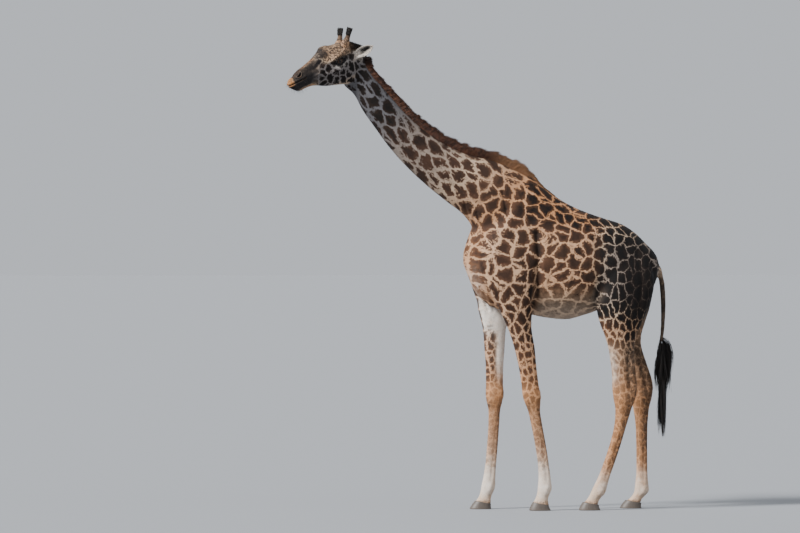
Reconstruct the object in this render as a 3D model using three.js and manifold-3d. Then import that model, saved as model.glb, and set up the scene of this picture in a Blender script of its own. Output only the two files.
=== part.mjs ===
// A Masai giraffe standing still, life size, in millimetres with +Z up.
// It faces -X, its left side is toward -Y, and its hooves stand on z = 0.
import * as THREE from "three";
import { mergeVertices } from "three/addons/utils/BufferGeometryUtils.js";
import Module from "manifold-3d";

const wasm = await Module();
wasm.setup();

// ---------------------------------------------------------------- driving sizes
const gap = 0.3; // clearance between pieces that touch

const trunkSides = 22;
const neckSides = 20;
const limbSides = 14;
const headSides = 26;
const trunkSteps = 24;
const neckSteps = 24;
const limbSteps = 24;
const headSteps = 26;

// Trunk: [distance behind the breast line, top, bottom, half width]
const trunk = [
  [-160, 2260, 2150, 38],
  [-128, 2365, 2072, 88],
  [-66, 2520, 1925, 132],
  [5, 2665, 1838, 165],
  [92, 2800, 1776, 192],
  [232, 2915, 1732, 222],
  [390, 2935, 1715, 245],
  [565, 2812, 1680, 268],
  [740, 2692, 1664, 288],
  [915, 2612, 1706, 286],
  [1090, 2552, 1768, 262],
  [1230, 2508, 1820, 235],
  [1352, 2432, 1856, 205],
  [1457, 2330, 1874, 165],
  [1515, 2268, 1940, 128],
  [1548, 2214, 2030, 88],
  [1566, 2165, 2075, 42],
];
const trunkShape = { crest: 1.12, keel: 0.9, waist: 0.46 };

// Neck: [station, nape x, nape z, throat x, throat z, half width]
const neck = [
  [0, -1046, 3973, -1212, 3702, 54],
  [1, -967, 3824, -1124, 3631, 76],
  [2, -827, 3658, -1046, 3491, 88],
  [3, -665, 3474, -941, 3343, 98],
  [4, -512, 3334, -818, 3176, 108],
  [5, -328, 3207, -678, 3019, 120],
  [6, -118, 3115, -503, 2853, 134],
  [7, 92, 3063, -319, 2704, 150],
  [8, 267, 2993, -171, 2590, 165],
  [9, 398, 2923, -83, 2468, 175],
  [10, 512, 2783, 4, 2275, 165],
];
const neckShape = { crest: 1.05, keel: 0.95, waist: 0.48 };

// Limbs: bone lines as [height, x], shared girths as [height, length, half width, off the midline]
const foreBones = {
  left: [[0, 499], [61, 501], [200, 538], [989, 424], [1400, 363], [1706, 292], [2222, 240], [2774, 350]],
  right: [[0, 12], [70, 36], [200, 80], [989, 134], [1440, 134], [1724, 134], [1850, 154], [2222, 178], [2774, 324]],
};
const foreGirths = [
  [30, 152, 52, 160],
  [62, 138, 50, 160],
  [118, 117, 45, 160],
  [195, 131, 49, 160],
  [280, 114, 42, 160],
  [420, 103, 37, 159],
  [660, 102, 37, 158],
  [855, 109, 42, 157],
  [950, 148, 55, 156],
  [1015, 165, 57, 156],
  [1100, 158, 48, 156],
  [1240, 162, 48, 156],
  [1400, 184, 54, 158],
  [1560, 206, 62, 162],
  [1680, 255, 74, 168],
  [1800, 326, 84, 174],
  [1980, 476, 94, 174],
  [2160, 540, 92, 166],
  [2450, 400, 70, 142],
  [2774, 180, 38, 96],
];
const hindBones = {
  left: [[0, 936], [53, 943], [160, 1011], [1050, 1243], [1531, 1206], [1978, 1229], [2330, 1190]],
  right: [[0, 1344], [53, 1364], [160, 1442], [1060, 1432], [1531, 1300], [1978, 1268], [2330, 1210]],
};
const hindGirths = [
  [25, 142, 52, 155],
  [53, 126, 50, 155],
  [96, 120, 45, 155],
  [155, 136, 49, 155],
  [230, 121, 43, 155],
  [330, 104, 38, 155],
  [510, 104, 37, 155],
  [680, 108, 39, 154],
  [880, 148, 46, 153],
  [975, 200, 52, 153],
  [1070, 228, 50, 154],
  [1220, 218, 54, 158],
  [1400, 232, 68, 164],
  [1520, 280, 82, 168],
  [1645, 376, 96, 168],
  [1785, 478, 110, 164],
  [1978, 556, 118, 156],
  [2170, 500, 96, 136],
  [2330, 300, 40, 104],
];
const legCuts = {
  knee: 985,
  hock: 1050,
  elbow: 1700,
  foreBack: 455, // how far back the foreleg's cut reaches
  belly: 1600, // the legs are apart from the belly below this
  midway: 700, // between the forelegs and the hind legs
  flank: [993, 1790],
  thighNormal: [0.33, 0, -0.944],
};
const footLift = 24; // how far the hoof's hairline is higher in front than at the heel

// Hooves: [height, length, half width, forward of the bone line]
const hoofRows = [
  [0, 186, 66, 2],
  [14, 184, 66, 3],
  [60, 152, 61, 2],
  [110, 124, 53, 0],
];
const cleft = 7;

// Head, in its own frame: origin at the poll, the nose toward -X
const headPlace = { x: -1133, y: 0, z: 3955, pitch: 23, yaw: 22 };
// [forward of the poll, top, bottom, half width, widest height]
const skull = [
  [-120, 62, -120, 50, -20],
  [-70, 96, -168, 66, -20],
  [-20, 132, -188, 78, 0],
  [50, 168, -194, 90, 15],
  [120, 180, -190, 102, 30],
  [176, 188, -184, 108, 36],
  [225, 198, -172, 98, 40],
  [262, 199, -158, 86, 40],
  [300, 182, -148, 75, 30],
  [354, 156, -130, 67, 25],
  [420, 133, -98, 60, 20],
  [480, 114, -79, 56, 15],
  [540, 102, -75, 56, 20],
  [582, 89, -76, 54, 20],
  [614, 70, -68, 46, 14],
  [642, 65, -48, 38, 12],
  [664, 54, -26, 28, 12],
  [680, 34, 0, 13, 15],
];
const skullShape = { crest: 0.86, keel: 0.92 };
const eye = { forward: 176, side: 82, up: 32, radius: 31 };
const nostril = { forward: 560, side: 52, up: 58, length: 24, height: 9, depth: 16, tilt: 28, rim: 7 };
const mouth = { back: 500, front: 700, backUp: 26, frontUp: 8, thickness: 7, depth: 11 };
const ossicone = {
  base: { forward: 58, side: 58, up: 140 },
  tip: { forward: -34, side: 92, up: 264 },
  baseRadius: 36,
  waistRadius: 17,
  knobRadius: 20,
};
const ear = {
  root: { forward: -10, side: 60, up: 18 },
  seat: { forward: -10, side: 86, up: 20, back: 0.2, rise: 0.15 },
  tip: { back: 90, side: 158, up: 34 },
  length: 196,
  width: 104,
  thickness: 7,
  cup: 30,
};

// Tail: [station, x, z, half thickness]
const tail = [
  [0, 1490, 2150, 62],
  [1, 1558, 2095, 44],
  [2, 1585, 2035, 29],
  [3, 1598, 1960, 27],
  [4, 1608, 1790, 25],
  [5, 1604, 1620, 21],
  [6, 1590, 1470, 18],
];
const tailCut = 2045;
const tailClearance = 4; // between the hanging tail and the rump
const tuftTop = 1500;

// Mane: two staggered rows of flat locks from the poll to the withers
const mane = {
  from: 0.25,
  to: 9.15,
  count: 33,
  heights: [[0, 52], [2.5, 62], [4, 84], [8.4, 90], [9.2, 62]],
  width: 84,
  thickness: 14,
  lean: 0.42, // toward the withers for each unit up
  splay: 0.16, // away from the midline for each unit up
  root: 24, // how deep each lock is sunk
};

// Tail tuft: a slim core, a bulge of shorter locks round it and long locks down to the tips
const tuft = {
  core: [
    [1090, 1604, 12],
    [1240, 1602, 26],
    [1400, 1598, 24],
    [1500, 1593, 19],
  ],
  tip: 632,
  short: { count: 12, top: 1470, drop: 110, length: 350, spread: 68, width: 56 },
  long: { count: 7, top: 1330, drop: 160, length: 640, spread: 16, width: 46 },
  sweep: 14, // how far the bulge hangs toward the rear
  thickness: 12,
};

// ---------------------------------------------------------------- shapes
const radians = Math.PI / 180;

// Smooth interpolation without overshoot: the first column of rows is where, the others are values.
function slopes(rows, column) {
  const count = rows.length;
  const rises = rows.slice(1).map((row, i) => (row[column] - rows[i][column]) / (row[0] - rows[i][0]));
  return rows.map((row, i) => {
    if (i === 0) {
      return rises[0];
    }
    if (i === count - 1) {
      return rises[count - 2];
    }
    const before = rises[i - 1];
    const after = rises[i];
    return before * after <= 0 ? 0 : (2 * before * after) / (before + after);
  });
}

function valueAt(rows, where, column) {
  const last = rows.length - 1;
  const at = Math.min(Math.max(where, rows[0][0]), rows[last][0]);
  let i = 0;
  while (i < last - 1 && at > rows[i + 1][0]) {
    i += 1;
  }
  const span = rows[i + 1][0] - rows[i][0];
  const t = (at - rows[i][0]) / span;
  const slope = slopes(rows, column);
  const fall = 2 * t ** 3 - 3 * t ** 2;
  return (
    (fall + 1) * rows[i][column] +
    (t ** 3 - 2 * t ** 2 + t) * span * slope[i] -
    fall * rows[i + 1][column] +
    (t ** 3 - t ** 2) * span * slope[i + 1]
  );
}

const signedPower = (value, power) => Math.sign(value) * Math.abs(value) ** power;

// A closed ring of points round a middle: above and below are its reaches along up, half its reach
// along side, and crest and keel say how square (below 1) or ridged (above 1) it is there.
function ring(middle, up, side, size, sides) {
  return Array.from({ length: sides }, (unused, i) => {
    const angle = (i / sides) * 2 * Math.PI;
    const upper = Math.cos(angle) > 0;
    const power = upper ? size.crest : size.keel;
    const rise = signedPower(Math.cos(angle), power) * (upper ? size.above : size.below);
    const spread = signedPower(Math.sin(angle), power) * size.half;
    return middle.clone().addScaledVector(up, rise).addScaledVector(side, spread);
  });
}

// A closed skin over rings of equal count, with a flat fan over each end.
function loft(rings) {
  const sides = rings[0].length;
  const corners = rings.flat().flatMap((point) => [point.x, point.y, point.z]);
  const faces = [];
  for (let r = 0; r < rings.length - 1; r += 1) {
    for (let i = 0; i < sides; i += 1) {
      const a = r * sides + i;
      const b = r * sides + ((i + 1) % sides);
      faces.push(a, b, b + sides, a, b + sides, a + sides);
    }
  }
  for (const end of [0, rings.length - 1]) {
    const middle = rings[end].reduce((sum, point) => sum.add(point), new THREE.Vector3());
    middle.divideScalar(sides);
    const hub = corners.length / 3;
    corners.push(middle.x, middle.y, middle.z);
    for (let i = 0; i < sides; i += 1) {
      const a = end * sides + i;
      const b = end * sides + ((i + 1) % sides);
      faces.push(...(end === 0 ? [hub, b, a] : [hub, a, b]));
    }
  }
  const geometry = new THREE.BufferGeometry();
  geometry.setAttribute("position", new THREE.Float32BufferAttribute(corners, 3));
  geometry.setIndex(faces);
  return geometry;
}

function solid(geometry) {
  const bare = geometry.clone();
  bare.deleteAttribute("normal");
  bare.deleteAttribute("uv");
  const merged = mergeVertices(bare, 1e-3);
  const mesh = new wasm.Mesh({
    numProp: 3,
    vertProperties: Float32Array.from(merged.attributes.position.array),
    triVerts: Uint32Array.from(merged.index.array),
  });
  const made = new wasm.Manifold(mesh);
  return made.volume() > 0 ? made : solid(turnedInsideOut(merged));
}

function turnedInsideOut(geometry) {
  const index = geometry.index.array;
  for (let i = 0; i < index.length; i += 3) {
    [index[i], index[i + 1]] = [index[i + 1], index[i]];
  }
  return geometry;
}

function geometryOf(body) {
  const mesh = body.getMesh();
  const geometry = new THREE.BufferGeometry();
  geometry.setAttribute("position", new THREE.Float32BufferAttribute(mesh.vertProperties, 3));
  geometry.setIndex(Array.from(mesh.triVerts));
  return geometry;
}

const biggest = (body) => body.decompose().reduce((a, b) => (a.volume() > b.volume() ? a : b));

// All of space on the side of a plane that its normal points to, half a gap away from it.
function beyond(point, normal) {
  const reach = 9000;
  const direction = new THREE.Vector3(...normal).normalize();
  const box = new THREE.BoxGeometry(reach, reach, reach);
  box.translate(0, 0, reach / 2 + gap / 2);
  box.applyQuaternion(new THREE.Quaternion().setFromUnitVectors(new THREE.Vector3(0, 0, 1), direction));
  box.translate(...point);
  return solid(box);
}

function block(low, high) {
  const size = low.map((value, i) => high[i] - value);
  const box = new THREE.BoxGeometry(...size);
  box.translate(...low.map((value, i) => value + size[i] / 2));
  return solid(box);
}

// ---------------------------------------------------------------- trunk, neck and limbs
function spread(from, to, count) {
  return Array.from({ length: count + 1 }, (unused, i) => {
    const t = (1 - Math.cos((i / count) * Math.PI)) / 2;
    const even = i / count;
    return from + (to - from) * (0.55 * even + 0.45 * t);
  });
}

function trunkSolid() {
  const rings = spread(trunk[0][0], trunk[trunk.length - 1][0], trunkSteps).map((x) => {
    const [top, bottom, half] = [1, 2, 3].map((column) => valueAt(trunk, x, column));
    const level = bottom + (top - bottom) * trunkShape.waist;
    const size = { ...trunkShape, above: top - level, below: level - bottom, half };
    return ring(
      new THREE.Vector3(x, 0, level),
      new THREE.Vector3(0, 0, 1),
      new THREE.Vector3(0, 1, 0),
      size,
      trunkSides,
    );
  });
  return solid(loft(rings));
}

function neckRow(station) {
  const [topX, topZ, lowX, lowZ, half] = [1, 2, 3, 4, 5].map((column) => valueAt(neck, station, column));
  const nape = new THREE.Vector3(topX, 0, topZ);
  const throat = new THREE.Vector3(lowX, 0, lowZ);
  const up = nape.clone().sub(throat);
  const height = up.length();
  return { nape, throat, up: up.normalize(), height, half };
}

function neckSolid() {
  const rings = spread(0, neck.length - 1, neckSteps).map((station) => {
    const row = neckRow(station);
    const level = row.height * neckShape.waist;
    const size = { ...neckShape, above: row.height - level, below: level, half: row.half };
    const middle = row.throat.clone().addScaledVector(row.up, level);
    return ring(middle, row.up, new THREE.Vector3(0, 1, 0), size, neckSides);
  });
  return solid(loft(rings));
}

function limbSolid(bones, girths, side) {
  const rings = spread(girths[0][0], girths[girths.length - 1][0], limbSteps).map((height) => {
    const [length, half, off] = [1, 2, 3].map((column) => valueAt(girths, height, column));
    const size = { crest: 0.95, keel: 0.95, above: length / 2, below: length / 2, half };
    return ring(
      new THREE.Vector3(valueAt(bones, height, 1), side * off, height),
      new THREE.Vector3(-1, 0, 0),
      new THREE.Vector3(0, 1, 0),
      size,
      limbSides,
    );
  });
  return solid(loft(rings));
}

// The hoof of one foot, before its two toes are parted.
function hoofSolid(bones, side, off) {
  const rings = hoofRows.map(([height, length, half, forward]) => {
    const size = { crest: 0.9, keel: 0.8, above: length / 2, below: length / 2, half };
    const x = valueAt(bones, height, 1) - forward;
    return ring(
      new THREE.Vector3(x, side * off, height),
      new THREE.Vector3(-1, 0, 0),
      new THREE.Vector3(0, 1, 0),
      size,
      limbSides,
    );
  });
  return solid(loft(rings));
}

// ---------------------------------------------------------------- head
const headMatrix = new THREE.Matrix4()
  .makeTranslation(headPlace.x, headPlace.y, headPlace.z)
  .multiply(new THREE.Matrix4().makeRotationZ(headPlace.yaw * radians))
  .multiply(new THREE.Matrix4().makeRotationY(-headPlace.pitch * radians));

const inHead = (geometry) => solid(geometry.applyMatrix4(headMatrix));

function skullGeometry(narrower, steps, sides) {
  const rings = spread(skull[0][0], skull[skull.length - 1][0], steps).map((forward) => {
    const [top, bottom, half, level] = [1, 2, 3, 4].map((column) => valueAt(skull, forward, column));
    const size = {
      ...skullShape,
      above: Math.max(top - level - narrower, 2),
      below: Math.max(level - bottom - narrower, 2),
      half: Math.max(half - narrower, 2),
    };
    return ring(
      new THREE.Vector3(-forward, 0, level),
      new THREE.Vector3(0, 0, 1),
      new THREE.Vector3(0, 1, 0),
      size,
      sides,
    );
  });
  return loft(rings);
}

// A rounded rod through points, thickest in the middle, as eyelids and nostril rims are.
function fold(points, thickness, steps, sides) {
  const path = new THREE.CatmullRomCurve3(points);
  const frames = path.computeFrenetFrames(steps, false);
  const rings = Array.from({ length: steps + 1 }, (unused, i) => {
    const half = thickness * (0.25 + 0.75 * Math.sin((i / steps) * Math.PI));
    const size = { crest: 1, keel: 1, above: half, below: half, half };
    return ring(path.getPoint(i / steps), frames.normals[i], frames.binormals[i], size, sides);
  });
  return loft(rings);
}

function eyeball(side, extra) {
  const ball = new THREE.SphereGeometry(eye.radius + extra, 12, 8);
  ball.translate(-eye.forward, side * eye.side, eye.up);
  return inHead(ball);
}

function lid(side, height, thickness) {
  const reach = eye.radius + 5;
  const points = [-1, -0.55, 0, 0.55, 1].map((t) => {
    const bow = Math.sqrt(1 - t * t * 0.98);
    const out = Math.sqrt(Math.max(reach ** 2 - (t * reach * 0.96) ** 2 - (bow * height) ** 2, 0));
    return new THREE.Vector3(
      -eye.forward - t * reach * 1.05,
      side * (eye.side + out * 0.92),
      eye.up + bow * height,
    );
  });
  return inHead(fold(points, thickness, 6, 5));
}

function nostrilPit(side) {
  const pit = new THREE.SphereGeometry(1, 10, 6);
  pit.scale(nostril.length, nostril.depth, nostril.height);
  pit.rotateY(-nostril.tilt * radians);
  pit.translate(-nostril.forward, side * nostril.side, nostril.up);
  return inHead(pit);
}

function nostrilRim(side) {
  const points = [-0.9, -0.45, 0, 0.45, 0.9].map((t) => {
    const along = t * nostril.length * 1.15;
    const over = Math.cos((t * Math.PI) / 2) * (nostril.height + 5);
    const turn = nostril.tilt * radians;
    return new THREE.Vector3(
      -nostril.forward + along * Math.cos(turn) - over * Math.sin(turn),
      side * (nostril.side - 6 - 3 * Math.abs(t)),
      nostril.up + along * Math.sin(turn) + over * Math.cos(turn),
    );
  });
  return inHead(fold(points, nostril.rim, 6, 5));
}

function mouthLine() {
  const outline = new THREE.Shape();
  const half = mouth.thickness / 2;
  outline.moveTo(-mouth.back, mouth.backUp);
  outline.quadraticCurveTo(-(mouth.back + mouth.front) / 2, mouth.frontUp - 6, -mouth.front, mouth.frontUp - half);
  outline.lineTo(-mouth.front, mouth.frontUp + half);
  outline.quadraticCurveTo(-(mouth.back + mouth.front) / 2, mouth.frontUp, -mouth.back, mouth.backUp + half);
  const plate = new THREE.ExtrudeGeometry(outline, { depth: 200, bevelEnabled: false, curveSegments: 6 });
  plate.rotateX(Math.PI / 2);
  plate.translate(0, 100, 0);
  return inHead(plate).subtract(inHead(skullGeometry(mouth.depth, 12, 12)));
}

function ossiconeSolid(side, extra) {
  const base = new THREE.Vector3(-ossicone.base.forward, side * ossicone.base.side, ossicone.base.up);
  const tip = new THREE.Vector3(-ossicone.tip.forward, side * ossicone.tip.side, ossicone.tip.up);
  const axis = tip.clone().sub(base);
  const length = axis.length();
  const rows = [
    [-0.22, ossicone.baseRadius],
    [0, ossicone.baseRadius * 0.95],
    [0.25, ossicone.waistRadius * 1.25],
    [0.55, ossicone.waistRadius],
    [0.78, ossicone.knobRadius],
    [0.93, ossicone.knobRadius * 0.86],
    [1, ossicone.knobRadius * 0.35],
  ];
  const profile = rows.map(([t, radius]) => new THREE.Vector2(radius + extra, t * length));
  profile.unshift(new THREE.Vector2(0, profile[0].y - extra));
  profile.push(new THREE.Vector2(0, length + 2));
  const horn = new THREE.LatheGeometry(profile, 12);
  horn.applyQuaternion(new THREE.Quaternion().setFromUnitVectors(new THREE.Vector3(0, 1, 0), axis.normalize()));
  horn.translate(base.x, base.y, base.z);
  return inHead(horn);
}

// A leaf-shaped cup that opens forward, with its stem sunk into the head.
function earSolid(side) {
  const along = new THREE.Vector3(ear.tip.back, side * ear.tip.side, ear.tip.up).normalize();
  const faceWay = new THREE.Vector3(-1, side * 0.55, -0.1);
  const open = faceWay.addScaledVector(along, -faceWay.dot(along)).normalize();
  const across = new THREE.Vector3().crossVectors(along, open);
  const root = new THREE.Vector3(-ear.root.forward, side * ear.root.side, ear.root.up);
  const steps = 8;
  const columns = 6;
  const rings = Array.from({ length: steps + 1 }, (unused, i) => {
    const t = i / steps;
    const half = Math.max(ear.width * 0.5 * Math.sin(Math.PI * (0.18 + 0.8 * t ** 1.25)) ** 0.8, 1.2);
    const curl = ear.cup * Math.sin(Math.PI * Math.min(0.3 + 0.62 * t, 1));
    const thick = (ear.thickness / 2) * (1.25 - 0.7 * t);
    const centre = root.clone().addScaledVector(along, t * ear.length);
    const leaf = (column, sign) => {
      const u = (column / columns) * 2 - 1;
      const dip = curl * (u * u - 0.5) + sign * thick * (1 - 0.75 * u ** 4);
      return centre.clone().addScaledVector(across, u * half * (1 - 0.18 * (curl / ear.cup) * u * u)).addScaledVector(open, dip);
    };
    const front = Array.from({ length: columns + 1 }, (unused2, column) => leaf(column, 1));
    const back = Array.from({ length: columns - 1 }, (unused2, column) => leaf(columns - 1 - column, -1));
    return [...front, ...back];
  });
  return inHead(loft(rings));
}

// ---------------------------------------------------------------- tail and mane
function tailSolid(extra) {
  const path = new THREE.CatmullRomCurve3(tail.map(([, x, z]) => new THREE.Vector3(x, 0, z)));
  const steps = 14;
  const rings = Array.from({ length: steps + 1 }, (unused, i) => {
    const t = i / steps;
    const along = path.getTangent(t);
    const half = valueAt(tail, t * (tail.length - 1), 3) + extra;
    const size = { crest: 1, keel: 1, above: half, below: half, half: half * 0.95 };
    return ring(path.getPoint(t), new THREE.Vector3(-along.z, 0, along.x), new THREE.Vector3(0, 1, 0), size, 10);
  });
  return solid(loft(rings));
}

// A repeatable draw between 0 and 1.
function makeDraw(seed) {
  let state = seed;
  return () => {
    state = (state * 1664525 + 1013904223) % 4294967296;
    return state / 4294967296;
  };
}

// A flat lock: it follows the path from root to tip, widest a third of the way, and ends in a point.
function lockSolid(path, across, width, thickness, steps) {
  const corners = [];
  const faces = [];
  for (let i = 0; i < steps; i += 1) {
    const t = i / steps;
    const ahead = path(t + 0.02).sub(path(t)).normalize();
    const face = new THREE.Vector3().crossVectors(ahead, across).normalize();
    const wide = new THREE.Vector3().crossVectors(face, ahead);
    const halfWidth = (width / 2) * (0.72 + 0.9 * t - 1.35 * t * t);
    const halfDepth = (thickness / 2) * (1 - 0.75 * t);
    for (const [w, d] of [[1, 0], [0, 1], [-1, 0], [0, -1]]) {
      const point = path(t).addScaledVector(wide, w * halfWidth).addScaledVector(face, d * halfDepth);
      corners.push(point.x, point.y, point.z);
    }
  }
  corners.push(...path(1).toArray());
  for (let i = 0; i < steps - 1; i += 1) {
    for (let k = 0; k < 4; k += 1) {
      const a = i * 4 + k;
      const b = i * 4 + ((k + 1) % 4);
      faces.push(a, b, b + 4, a, b + 4, a + 4);
    }
  }
  const last = (steps - 1) * 4;
  for (let k = 0; k < 4; k += 1) {
    faces.push(last + k, last + ((k + 1) % 4), steps * 4);
  }
  faces.push(0, 2, 1, 0, 3, 2);
  const geometry = new THREE.BufferGeometry();
  geometry.setAttribute("position", new THREE.Float32BufferAttribute(corners, 3));
  geometry.setIndex(faces);
  return solid(geometry);
}

const fuse = (solids) => wasm.Manifold.union(solids);

function maneLocks() {
  const draw = makeDraw(11);
  return Array.from({ length: mane.count * 2 }, (unused, n) => {
    const side = n % 2 === 0 ? 1 : -1;
    const station = mane.from + ((mane.to - mane.from) * (n + 0.5 * draw())) / (mane.count * 2);
    const row = neckRow(station);
    const toWithers = new THREE.Vector3(row.up.z, 0, -row.up.x);
    const height = valueAt(mane.heights, station, 1) * (0.88 + 0.24 * draw());
    const lean = mane.lean * (0.7 + 0.6 * draw());
    const splay = side * mane.splay * (0.5 + draw());
    const root = row.nape.clone().addScaledVector(row.up, -mane.root);
    root.y = side * (3 + 5 * draw());
    const whole = height + mane.root;
    const path = (t) =>
      root
        .clone()
        .addScaledVector(row.up, whole * t * (1 - 0.06 * t))
        .addScaledVector(toWithers, whole * lean * t * t)
        .add(new THREE.Vector3(0, splay * whole * t, 0));
    const turn = side * (0.1 + 0.25 * draw());
    const across = toWithers.clone().applyAxisAngle(row.up, turn);
    return lockSolid(path, across, mane.width * (0.85 + 0.3 * draw()), mane.thickness, 3);
  });
}

function tuftLocks(kind, seed) {
  const draw = makeDraw(seed);
  const goldenTurn = 2.39996;
  return Array.from({ length: kind.count }, (unused, n) => {
    const top = kind.top - (kind.drop * n) / kind.count;
    const angle = n * goldenTurn + 0.5 * draw();
    const out = new THREE.Vector3(Math.cos(angle), Math.sin(angle), 0);
    const length = Math.min(kind.length * (0.82 + 0.36 * draw()), top - tuft.tip);
    const spread = kind.spread * (0.75 + 0.5 * draw());
    const sway = 14 * (draw() - 0.5);
    const sweep = kind === tuft.short ? tuft.sweep : 0;
    const root = new THREE.Vector3(valueAt(tuft.core, top, 1), 0, top);
    const path = (t) =>
      root
        .clone()
        .addScaledVector(out, 6 + spread * Math.sin(2 * t))
        .add(new THREE.Vector3(sway * t + sweep * Math.sin(2 * t), 0, -length * t));
    const across = new THREE.Vector3(-out.y, out.x, 0);
    return lockSolid(path, across, kind.width * (0.85 + 0.3 * draw()), tuft.thickness, 4);
  });
}

function tuftSolid() {
  const rings = tuft.core.map(([height, x, half]) => {
    const size = { crest: 1, keel: 1, above: half, below: half, half: half * 0.85 };
    return ring(
      new THREE.Vector3(x, 0, height),
      new THREE.Vector3(-1, 0, 0),
      new THREE.Vector3(0, 1, 0),
      size,
      10,
    );
  });
  const core = solid(loft(rings));
  return fuse([core, ...tuftLocks(tuft.short, 5), ...tuftLocks(tuft.long, 8)]);
}

// ---------------------------------------------------------------- the whole body, then its parts
const foreLeft = limbSolid(foreBones.left, foreGirths, -1);
const foreRight = limbSolid(foreBones.right, foreGirths, 1);
const hindLeft = limbSolid(hindBones.left, hindGirths, -1);
const hindRight = limbSolid(hindBones.right, hindGirths, 1);

const skullSolid = inHead(skullGeometry(0, headSteps, headSides))
  .add(lid(-1, 17, 7))
  .add(lid(1, 17, 7))
  .add(lid(-1, -16, 5))
  .add(lid(1, -16, 5))
  .add(nostrilRim(-1))
  .add(nostrilRim(1));

const wholeTail = tailSolid(0);
const tailRoom = tailSolid(tailClearance).intersect(block([0, -200, 0], [2000, 200, tailCut]));
const body = trunkSolid()
  .add(neckSolid())
  .add(fuse(maneLocks()))
  .add(foreLeft)
  .add(foreRight)
  .add(hindLeft)
  .add(hindRight)
  .add(skullSolid)
  .subtract(tailRoom)
  .add(wholeTail.intersect(beyond([0, 0, tailCut], [0, 0, 1])));

// Planes that part the neck, as [point, direction toward the head].
const cutAcrossNeck = (station) => {
  const row = neckRow(station);
  const middle = row.nape.clone().add(row.throat).divideScalar(2);
  const ahead = new THREE.Vector3(-row.up.z, 0, row.up.x);
  return { point: middle.toArray(), ahead: ahead.toArray(), behind: ahead.clone().negate().toArray() };
};
// The same through a point on the withers and one where the throat meets the breast.
const cutThrough = ([topX, topZ], [lowX, lowZ]) => {
  const ahead = new THREE.Vector3(lowZ - topZ, 0, topX - lowX).normalize();
  return { point: [topX, 0, topZ], ahead: ahead.toArray(), behind: ahead.clone().negate().toArray() };
};
const headCut = cutAcrossNeck(0.55);
const upperCut = cutAcrossNeck(3.4);
const lowerCut = cutAcrossNeck(6.2);
const trunkCut = cutThrough([505, 2852], [-75, 2444]);

const between = (front, back) =>
  biggest(body.intersect(beyond(front.point, front.behind)).intersect(beyond(back.point, back.ahead)));

// The room that the legs take: forelegs below the elbow, hind legs below a plane from flank to rump.
const legRoom = (extra) => {
  const arm = block([-400, -900, 0], [legCuts.foreBack - extra, 900, legCuts.elbow - extra]);
  const foreShank = block([-400, -900, -10], [legCuts.midway, 900, legCuts.belly]);
  const below = beyond([legCuts.flank[0], 0, legCuts.flank[1] - extra], legCuts.thighNormal);
  const thigh = block([legCuts.flank[0] + extra, -900, 0], [2200, 900, 2400]).intersect(below);
  const hindShank = block([legCuts.midway, -900, -10], [2200, 900, legCuts.belly]);
  return { fore: arm.add(foreShank), hind: thigh.add(hindShank) };
};

const leftSide = beyond([0, 0, 0], [0, -1, 0]);
const rightSide = beyond([0, 0, 0], [0, 1, 0]);

const group = new THREE.Group();

function place(name, shape, colour, roughness) {
  const material = new THREE.MeshStandardMaterial({ color: colour, roughness, metalness: 0 });
  const mesh = new THREE.Mesh(geometryOf(biggest(shape)), material);
  mesh.name = name;
  group.add(mesh);
}

const coat = 0x6b452c;
const legCoat = 0xb08a62;
const horn = 0x6d6258;
const black = 0x17130f;

// The plane against the side of the head where an ear's stem meets it.
function earCut(side, outward) {
  const point = new THREE.Vector3(-ear.seat.forward, side * ear.seat.side, ear.seat.up).applyMatrix4(headMatrix);
  const normal = new THREE.Vector3(ear.seat.back, side, ear.seat.rise).transformDirection(headMatrix);
  return beyond(point.toArray(), normal.multiplyScalar(outward).toArray());
}

let head = body.intersect(beyond(headCut.point, headCut.ahead)).subtract(mouthLine());
for (const side of [-1, 1]) {
  head = head.subtract(nostrilPit(side)).subtract(eyeball(side, gap));
  head = head.add(earSolid(side).intersect(earCut(side, -1))).subtract(ossiconeSolid(side, gap));
}
place("head", head, coat, 0.8);
for (const [name, side] of [["left", -1], ["right", 1]]) {
  place(`ear_${name}`, earSolid(side).intersect(earCut(side, 1)), 0xcfc4b4, 0.85);
  place(`eye_${name}`, eyeball(side, 0), black, 0.15);
  place(`ossicone_${name}`, ossiconeSolid(side, 0), 0x4c3626, 0.85);
}

place("neck_upper", between(headCut, upperCut), coat, 0.85);
place("neck_middle", between(upperCut, lowerCut), coat, 0.85);
place("neck_lower", between(lowerCut, trunkCut), coat, 0.85);

const wholeLegs = legRoom(0);
const torso = body
  .intersect(beyond(trunkCut.point, trunkCut.behind))
  .subtract(wholeLegs.fore.add(wholeLegs.hind));
place("torso", torso, coat, 0.85);

// One leg: the part above its middle joint, the part below it, and two hooves.
function placeLeg(name, leg, middleJoint, bones, side, off) {
  const heel = [valueAt(bones, 50, 1) + 60, 0, 50];
  const tilt = Math.atan2(footLift, 130);
  const upward = [Math.sin(tilt), 0, Math.cos(tilt)];
  const downward = upward.map((value) => -value);
  place(`leg_${name}_upper`, leg.intersect(beyond([0, 0, middleJoint], [0, 0, 1])), coat, 0.85);
  const lower = leg.intersect(beyond([0, 0, middleJoint], [0, 0, -1])).intersect(beyond(heel, upward));
  place(`leg_${name}_lower`, lower, legCoat, 0.85);
  const foot = hoofSolid(bones, side, off).intersect(beyond(heel, downward));
  const split = side * off;
  const toLeft = foot.intersect(beyond([0, split - cleft / 2, 0], [0, -1, 0]));
  const toRight = foot.intersect(beyond([0, split + cleft / 2, 0], [0, 1, 0]));
  place(`hoof_${name}_outer`, side < 0 ? toLeft : toRight, horn, 0.6);
  place(`hoof_${name}_inner`, side < 0 ? toRight : toLeft, horn, 0.6);
}

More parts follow.
